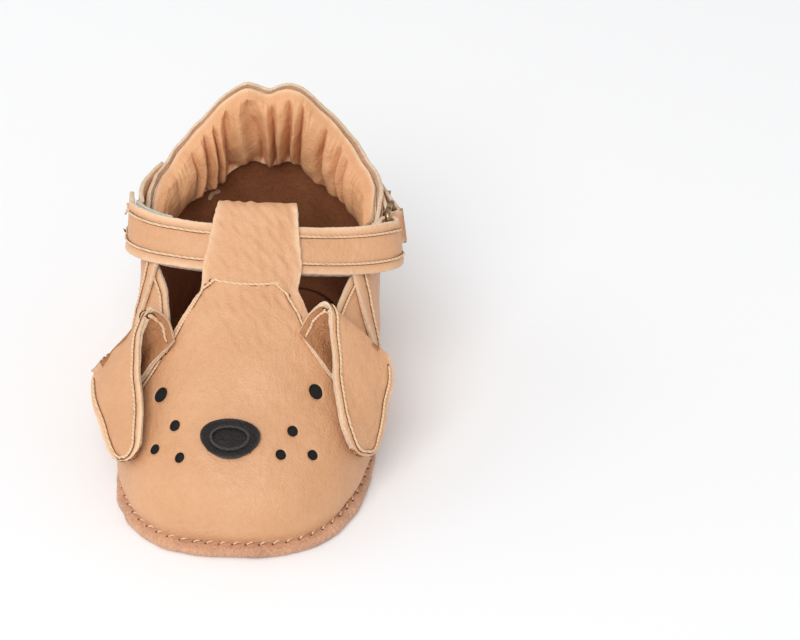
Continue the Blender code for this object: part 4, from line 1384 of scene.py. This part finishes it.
COLLAR = (  # angle from the toe and height in mm of the collar's cut edge
    (46, 43.4), (50, 45.4), (57, 47.2), (64, 48.6), (73, 50.0), (84, 51.2), (92, 52.4), (100, 53.8),
    (112, 55.2), (122, 57.2), (132, 60.2), (141, 63.6), (149, 67.0), (155, 69.6), (160, 71.6), (165, 73.2),
    (170, 73.9), (175, 73.1), (180, 72.2),
)


def collar_height(theta: Array) -> Array:
    """Height of the collar's cut edge, with its two lobes at the back and a slightly wavy line."""
    turned = np.abs(((np.asarray(theta, float) + 180) % 360) - 180)
    table = np.array(COLLAR)
    height = curve_through([(a, b, 0.0) for a, b in COLLAR], turned.ravel())[:, 0].reshape(turned.shape)
    height = np.where(turned < table[0, 0], table[0, 1], height)
    angle = np.radians(theta)
    wave = 0.28 * np.sin(angle * 11 + math.radians(40)) + 0.18 * np.sin(angle * 23)
    return (height + wave) * MM


@dataclass
class Upper:
    """The quarters, the heel panel over them, the linings and the gathered collar band."""

    heel_seam: float = 112.0
    collar_end: float = 84.0
    split: float = 0.44
    throat: tuple[tuple[float, float, float], ...] = (  # share along the panel, angle and height in mm
        (0.08, 42, 39.2), (0.16, 44.5, 41.8), (0.24, 48, 44.3),
        (0.31, 52.5, 46.2), (0.37, 60, 47.8), (0.41, 71, 49.4),
    )
    band_columns: int = 640
    pleat_span: float = 11.0  # degrees of the heel taken up by one pleat
    pleat_depth: float = 4.6 * MM
    puff: float = 4.0 * MM

    def panel(self, side: Side, offset: float, trim: float, rows: int, columns: int) -> Array:
        """A quarter from the vamp's seam to the heel's centre.

        Args:
            side: Which side of the foot.
            offset: Distance out from the last.
            trim: How far its upper edge stops short.
            rows: Rows of points.
            columns: Columns of points.

        Returns:
            Its front as a grid that faces outwards.
        """
        throat_z = SOLE_TOP + 0.74 * (LAST.instep_height - SOLE_TOP)
        share = np.linspace(0, 1, columns)
        back = np.clip((share - self.split) / (1 - self.split), 0, 1)
        theta_top = np.where(share > self.split, self.collar_end + (180 - self.collar_end) * back, 0)
        lead = -3.0 if side is Side.LEFT else 0.5
        knots = [(0, vamp_edge(throat_z) + 0.7, throat_z)]
        knots += [(part, theta + lead * (part < 0.35), z * MM) for part, theta, z in self.throat]
        knots += [(self.split, self.collar_end, 51.2 * MM)]
        front = curve_through(knots, np.minimum(share, self.split))
        theta_top = np.where(share > self.split, theta_top, front[:, 0])
        z_top = np.where(share > self.split, collar_height(theta_top), front[:, 1]) - trim
        theta_low = np.interp(share, [0, self.split, 1], [VAMP_SIDE + 0.7, self.heel_seam, 180])
        v = np.linspace(0, 1, rows)[:, None]
        theta = theta_low + (theta_top - theta_low) * v
        z = PANEL_FOOT + (z_top - PANEL_FOOT) * v
        flare = self.flare(side, theta, z)
        grid = LAST.point(side.value * theta, z, offset + flare)
        return grid if side is Side.RIGHT else grid[:, ::-1]

    def flare(self, side: Side, theta: Array, z: Array) -> Array:
        """How far the collar stands away from the last: more at its front ends, and more on the right."""
        high = ease((z - 50 * MM) / (6 * MM))
        front = np.exp(-(((theta - 104) / 20) ** 2))
        amount = 1.2 * MM if side is Side.RIGHT else 0.3 * MM
        return amount * high * front

    def soften(self, grid: Array, seed: int, amount: float = 0.16 * MM) -> Array:
        """Soft unevenness of worn leather."""
        waves = amount * ripple(grid, 13 * MM, seed) + amount * 0.4 * ripple(grid, 4 * MM, seed + 1)
        return grid + grid_normals(grid) * waves[..., None]

    def build(self) -> None:
        """Builds every piece of the upper behind the vamp."""
        behind = -(LEATHER + GAP)
        for side in Side:
            grid = self.soften(self.panel(side, 0, 1.6 * MM, 90, 190), 31)
            seams = self.quarter_seams(grid, side)
            name = side.word
            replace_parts(Hide(f"quarter_{name}_leather", pressed(grid, seams)).build(), f"quarter_{name}")
            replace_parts(sew(f"quarter_{name}_stitches", seams), f"quarter_{name}")
            inner = self.panel(side, behind, 2.6 * MM, 60, 120)[:, ::-1]
            looks = LINING, LINING, LINING
            lining = Hide(f"lining_{name}", self.soften(inner, 41), LINING_PLY, *looks, slot="lining").build()
            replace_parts(lining, f"quarter_lining_{name}", "heel_lining")
        self.build_heel_panel()
        self.build_band()

    def quarter_seams(self, grid: Array, side: Side) -> list[Seam]:
        """The stitches inside the throat's cut edge and along the seam with the vamp."""
        start, end = (0.02, self.split - 0.01) if side is Side.RIGHT else (1 - self.split + 0.01, 0.98)
        edge = 0.012 if side is Side.RIGHT else 0.988
        return [row_seam(grid, 0.955, start, end), column_seam(grid, edge, 0.06, 0.93)]

    def build_heel_panel(self) -> None:
        """The panel that wraps the heel over both quarters, cut edges and stitches showing in front."""
        s = np.linspace(0, 1, 300)
        foot = 98.0
        theta_low = foot + (360 - 2 * foot) * s
        end = 55.0
        theta_high = end + (360 - 2 * end) * s
        v = np.linspace(0, 1, 80)[:, None]
        theta = theta_low + (theta_high - theta_low) * v
        low = PANEL_FOOT + 1.2 * MM
        z = low + (collar_height(theta_high) + 0.1 * MM - low) * v
        mirrored = np.where(theta > 180, 360 - theta, theta)
        flare = np.where(theta > 180, self.flare(Side.LEFT, mirrored, z), self.flare(Side.RIGHT, mirrored, z))
        grid = self.soften(LAST.point(theta, z, LEATHER + GAP * 0.6 + flare), 31)
        seams = [column_seam(grid, 0.022, 0.04, 0.95), column_seam(grid, 0.978, 0.04, 0.95)]
        seams += [row_seam(grid, 0.955, 0.02, 0.98)]
        centre = [column_seam(grid, 0.5 + shift, 0.03, 0.7) for shift in (-0.008, 0.008)]
        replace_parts(Hide("heel_leather", pressed(grid, seams + centre)).build(), "heel_panel")
        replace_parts(sew("heel_stitches", seams), "heel_panel")

    def build_band(self) -> None:
        """The gathered, padded collar band: pleats drawn in by the elastic behind it."""
        theta = np.linspace(276, 84, self.band_columns)[None]
        v = np.linspace(0, 1, 70)[:, None]
        turned = np.abs(180 - theta)
        drop = np.interp(turned, [0, 12, 30, 58, 80, 97], [23.5, 23.5, 22.0, 14.5, 12.0, 9.5]) * MM
        top = collar_height(theta) - 0.15 * MM
        z = top - drop * (1 - v)
        depth = self.band_depth(theta, v, top - z)
        mirrored = self.flare(Side.LEFT, 360 - theta, z)
        flare = np.where(theta > 180, mirrored, self.flare(Side.RIGHT, theta, z))
        grid = LAST.point(theta, z, flare - depth)
        grid = grid + grid_normals(grid) * (0.12 * MM * ripple(grid, 5 * MM, 51))[..., None]
        # The band's face is lighter tan as painted light.
        looks = BAND_PAINTED_LIGHT, FLESH, FLESH
        band = Hide("collar_gathers", grid, 1.0 * MM, *looks, slot="band_leather", rim_width=0.9 * MM).build()
        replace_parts(band, "collar_band")
        theta = np.linspace(218, 142, 160)[None]
        z = collar_height(theta) - np.linspace(15, 8, 12)[:, None] * MM
        looks = ELASTIC, ELASTIC, ELASTIC
        strip = Hide("elastic_strip", LAST.point(theta, z, -2.45 * MM), 0.6 * MM, *looks, slot="elastic")
        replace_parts(strip.build(), "heel_elastic")

    def band_depth(self, theta: Array, v: Array, down: Array) -> Array:
        """How far the band's face lies inside the last: a padded roll with deep pleats at the heel.

        Args:
            theta: Angles round the foot.
            v: Shares up the band, 1 at its top.
            down: Distance below the collar's edge.

        Returns:
            One depth for each point.
        """
        turned = np.abs(180 - theta)
        swell = np.sin(np.pi * np.clip(0.02 + 0.93 * (1 - v), 0, 1)) ** 0.7
        depth = 0.76 * MM + 1.5 * MM * ease(down / (1.9 * MM))
        depth = depth + self.puff * swell * np.interp(turned, [0, 60, 97], [1.0, 0.8, 0.4])
        t = theta - 180
        phase = t / self.pleat_span + 0.30 * np.sin(t * 0.14 + 1) + 0.12 * np.sin(t * 0.37)
        phase = phase + 0.10 * np.sin(4 * v + t * 0.11)
        ridge = np.abs(np.sin(np.pi * phase)) ** 0.85
        gather = ease((72 - turned) / 34) * ease(down / (4.5 * MM))
        gather = gather * (0.55 + 0.45 * ease((1 - v) / 0.6)) * ease(v / 0.10 + 0.25)
        depth = depth + self.pleat_depth * gather * (ridge - 0.58)
        small = np.abs(np.sin(np.pi * (t / 4.4 + 0.5 * np.sin(t * 0.3)))) * 0.3 * MM
        small = small * ease((v - 0.6) / 0.3) * ease(down / (2 * MM))
        return depth + small * ease((85 - turned) / 20)


# ---------------------------------------------------------------- ears


Row = tuple[tuple[float, float, float], tuple[float, float, float]]

# Rows across each ear from its root to its tip, as the inner and outer end's angle, height and lift in mm.
EAR_ROWS: dict[Side, tuple[Row, ...]] = {
    Side.LEFT: (
        ((33.5, 37.8, 0.5), (69, 17, 0.5)), ((36.5, 40.2, 2.6), (68.5, 19.6, 2.6)),
        ((40.2, 40.6, 8), (66.5, 23.4, 8.5)), ((41.5, 38.6, 9), (68.2, 22.4, 9.8)),
        ((42.2, 35.0, 8.6), (67.0, 20.6, 9.4)), ((41.6, 31.2, 7.2), (63.2, 19.2, 8.4)),
        ((40.2, 27.6, 5.5), (59.2, 18.0, 7.0)), ((38.4, 24.2, 4.3), (55.2, 16.6, 5.8)),
        ((37.4, 21.2, 3.9), (51.2, 15.6, 4.8)), ((38.6, 18.3, 3.7), (46.4, 15.6, 4.1)),
    ),
    Side.RIGHT: (
        ((26.5, 40.5, 0.5), (66, 19, 0.5)), ((29, 42.5, 2.6), (66, 22.4, 2.4)),
        ((33.5, 43.4, 7.4), (62.4, 29.6, 8.4)), ((36.2, 41.6, 8.8), (64.0, 27.4, 9.6)),
        ((37.2, 38.2, 8.0), (66.0, 25.0, 9.2)), ((39.2, 34.4, 6.7), (67.4, 22.6, 8.2)),
        ((41.8, 29.8, 5.0), (68.0, 20.0, 6.6)), ((45.0, 25.0, 4.0), (67.8, 17.2, 5.4)),
        ((48.2, 20.6, 3.7), (66.6, 14.4, 4.5)), ((52.2, 16.6, 3.5), (63.5, 12.6, 3.9)),
    ),
}
ROOT_ROWS = 3  # rows from the sewn seam to the fold's crest


@dataclass
class Ear:
    """A two-ply ear: sewn along its root, folded over and hanging down the side of the face."""

    side: Side
    ply: float = 0.85 * MM
    between: float = 0.06 * MM
    inset: float = 2.0 * MM
    rows: int = 150
    columns: int = 80
    tip_round: float = 3.2 * MM

    def place(self, where: tuple[float, float, float]) -> Array:
        """A point beside the vamp from its angle, height in mm and lift in mm."""
        theta, z, lift = where
        return LAST.point(self.side.value * theta, z * MM, lift * MM)

    def sheet(self) -> Array:
        """The outer ply's face, from the sewn seam over the fold to the tip."""
        coarse = []
        for inner, outer in EAR_ROWS[self.side]:
            start, end = self.place(inner), self.place(outer)
            share = np.linspace(0, 1, 9)[:, None]
            if inner[2] < 1:
                row = [self.place(tuple(a + (b - a) * s for a, b in zip(inner, outer))) for s in share[:, 0]]
            else:
                row = list(start + (end - start) * share)
            coarse.append(row if self.side is Side.LEFT else row[::-1])
        grid = refine(np.array(coarse), self.rows, self.columns)
        return self.rounded(self.crowned(grid))

    def crowned(self, grid: Array) -> Array:
        """Swells the hanging part a little, as folded leather does."""
        rows, columns = grid.shape[:2]
        up = np.linspace(0, 1, rows)[:, None]
        across = np.linspace(-1, 1, columns)[None]
        swell = 1.0 * MM * (1 - across**2) * ease((up - 0.3) / 0.2) * (1 - ease((up - 0.8) / 0.2) * 0.6)
        waves = 0.22 * MM * ripple(grid, 11 * MM, 61 + self.side.value) + 0.07 * MM * ripple(grid, 3.5 * MM, 63)
        return grid + grid_normals(grid) * (swell + waves)[..., None]

    def rounded(self, grid: Array) -> Array:
        """Rounds the tip."""
        middle = grid.mean(1)
        left = np.linalg.norm(np.diff(middle, axis=0), axis=1)[::-1].cumsum()[::-1]
        left = np.concatenate([left, [0.0]])
        share = np.clip(left / self.tip_round, 0, 1)
        narrow = 0.34 + 0.66 * np.sqrt(1 - (1 - share) ** 2)
        return middle[:, None] + (grid - middle[:, None]) * narrow[:, None, None]

    def border(self, grid: Array, first: float, behind: bool) -> Array:
        """Places on the grid, as shares, along a line inset from its free edges, round the tip."""
        width = np.linalg.norm(np.diff(grid, axis=1), axis=-1).sum(1)
        length = np.linalg.norm(np.diff(grid.mean(1), axis=0), axis=-1).sum()
        up = np.linspace(first, 1 - self.inset / length, 300)
        gap = np.minimum(0.42, self.inset / np.interp(up, np.linspace(0, 1, len(width)), width))
        left = np.stack([up, gap], -1)
        right = np.stack([up, 1 - gap], -1)[::-1]
        hanging = 0.42 if not behind else 0.46
        if self.side is Side.LEFT:
            right = right[right[:, 0] > hanging]
        else:
            left = left[left[:, 0] > hanging]
        tip = np.linspace(left[-1], right[0], 30)[1:-1]
        return np.concatenate([left, tip, right])

    def border_seam(self, grid: Array, first: float, behind: bool) -> Seam:
        """The stitches round the ear, seen on its outer or its inner face."""
        place = self.border(grid, first, behind)
        points, normals = on_grid(grid, place[:, 0], place[:, 1])
        kernel = np.ones(17) / 17
        smooth = np.stack([np.convolve(np.pad(points[:, k], 8, "edge"), kernel, "valid") for k in range(3)], -1)
        if behind:
            return Seam(smooth - normals * (2 * self.ply + self.between), -normals)
        return Seam(smooth, normals)

    def under(self, grid: Array) -> Array:
        """The inner ply's face: just behind the outer ply, and narrower where both go over the fold."""
        rows = len(grid)
        kernel = np.ones(19) / 19
        normals = grid_normals(grid)
        padded = np.pad(normals, ((9, 9), (0, 0), (0, 0)), "edge")
        smooth = unit(np.apply_along_axis(lambda line: np.convolve(line, kernel, "valid"), 0, padded))
        inner = grid - smooth * (self.ply + self.between)
        narrow = 1 - 0.14 * np.exp(-(((np.linspace(0, 1, rows) - 0.27) / 0.10) ** 2))
        across = np.linspace(0, 1, grid.shape[1])
        start = 0 if self.side is Side.LEFT else -1
        if self.side is Side.RIGHT:
            across = 1 - across
        anchor = inner[:, start][:, None]
        return anchor + (inner - anchor) * (1 - (1 - narrow)[:, None] * across[None] ** 3)[..., None]

    def fold(self) -> tuple[tuple, tuple]:
        """Two points either side of the fold between root and flap."""
        root, crest, flap = EAR_ROWS[self.side][ROOT_ROWS - 2 : ROOT_ROWS + 1]
        middle = [(self.place(a) + self.place(b)) / 2 for a, b in (root, crest, flap)]
        inner, outer = (self.place(p) for p in crest)
        line = unit(outer - inner)
        down = unit(unit(middle[0] - middle[1]) + unit(middle[2] - middle[1]))
        across = unit(np.cross(line, down))
        if (middle[2] - middle[0]) @ across < 0:
            across = -across
        half = 0.9 * MM
        return tuple(middle[1] - across * half), tuple(middle[1] + across * half)

    def build(self) -> None:
        """Builds both plies and the stitches, left unattached."""
        word = self.side.word
        grid = self.sheet()
        front, back = self.border_seam(grid, 0.04, False), self.border_seam(grid, 0.04, True)
        outer = pressed(grid, [front], 0.2 * MM)
        inner = self.under(grid)
        start, end = self.fold()
        pieces = [
            Hide(f"ear_{word}_leather", outer, self.ply, body=None, fur=0.04 * MM).build(),
            # The inner ply's back is painted darker as shade inside the fold.
            Hide(
                f"ear_{word}_inner_leather", inner, self.ply, body=None, back=EAR_INSIDE_SHADE, fur=0.04 * MM
            ).build(),
            sew(f"ear_{word}_stitches", [front, back], body=None),
        ]
        for piece, ply in zip(pieces, ("outer", "lining", "outer")):
            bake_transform(piece)
            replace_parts(piece, f"ear_{word}_root_{ply}", f"ear_{word}_flap_{ply}")


# ---------------------------------------------------------------- studio


@dataclass
class Studio:
    """A pale floor, a white surround, soft lights and the camera."""

    aim: tuple[float, float, float] = (38.5 * MM, 0.0, 34.8 * MM)
    yaw: float = math.radians(-2.9)
    elevation: float = math.radians(36)
    distance: float = 600 * MM
    lens: float = 101.9

    def build(self) -> None:
        """Builds the whole stage."""
        self.floor()
        self.surround()
        self.soft_light("key light", (-0.45, -2.05, 2.2), 2.2, 60.0)
        self.soft_light("side light", (-0.95, 0.1, 0.6), 0.7, 1.2)
        self.camera()

    def floor(self) -> None:
        """A pale floor under the sole."""
        mesh = bpy.data.meshes.new("floor")
        size = 6.0
        corners = [(-size, -size, 0), (size, -size, 0), (size, size, 0), (-size, size, 0)]
        mesh.from_pydata(corners, [], [(0, 1, 2, 3)])
        mesh.materials.append(FLOOR.material())
        floor = bpy.data.objects.new("floor", mesh)
        floor.location.z = -0.1 * MM
        bpy.context.scene.collection.objects.link(floor)

    def surround(self) -> None:
        """An even white surround."""
        world = bpy.data.worlds.new("White surround")
        bpy.context.scene.world = world
        world.use_nodes = True
        world.node_tree.nodes["Background"].inputs["Color"].default_value = (1, 1, 1, 1)
        world.node_tree.nodes["Background"].inputs["Strength"].default_value = 0.6

    def soft_light(self, name: str, place: tuple[float, float, float], size: float, power: float) -> None:
        """A square soft light that faces the bootie."""
        light = bpy.data.lights.new(name, "AREA")
        light.size = size
        light.energy = power
        lamp = bpy.data.objects.new(name, light)
        lamp.location = place
        lamp.rotation_euler = (Vector((0, 0, 0.03)) - lamp.location).to_track_quat("-Z", "Y").to_euler()
        bpy.context.scene.collection.objects.link(lamp)

    def camera(self) -> None:
        """A long lens from in front and above."""
        data = bpy.data.cameras.new("camera")
        data.sensor_width = 36
        data.lens = self.lens
        data.clip_start, data.clip_end = 0.01, 20
        camera = bpy.data.objects.new("camera", data)
        flat = math.cos(self.elevation)
        forward = Vector((math.sin(self.yaw) * flat, math.cos(self.yaw) * flat, -math.sin(self.elevation)))
        camera.location = Vector(self.aim) - forward * self.distance
        camera.rotation_euler = forward.to_track_quat("-Z", "Y").to_euler()
        bpy.context.scene.collection.objects.link(camera)
        bpy.context.scene.camera = camera


def dress_carried_nodes(nodes: dict[str, Piece]) -> None:
    """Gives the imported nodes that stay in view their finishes."""
    kept = {"insole_board": BOARD, "footbed_foam": FOAM, "face_backing": FACE_BLACK}
    for name, finish in kept.items():
        nodes[name].data.materials.clear()
        nodes[name].data.materials.append(finish.material())


def main() -> None:
    """Builds the bootie and its stage."""
    logging.basicConfig(level=logging.INFO, format="%(message)s")
    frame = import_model()
    strap = Strap()
    Sole().build()
    Vamp(strap).build()
    Upper().build()
    strap.build()
    for side in Side:
        Ear(side).build()
    dress_carried_nodes(frame["nodes"])
    Studio().build()
    scene = bpy.context.scene
    scene.view_settings.view_transform = "Standard"


if __name__ == "__main__":
    main()
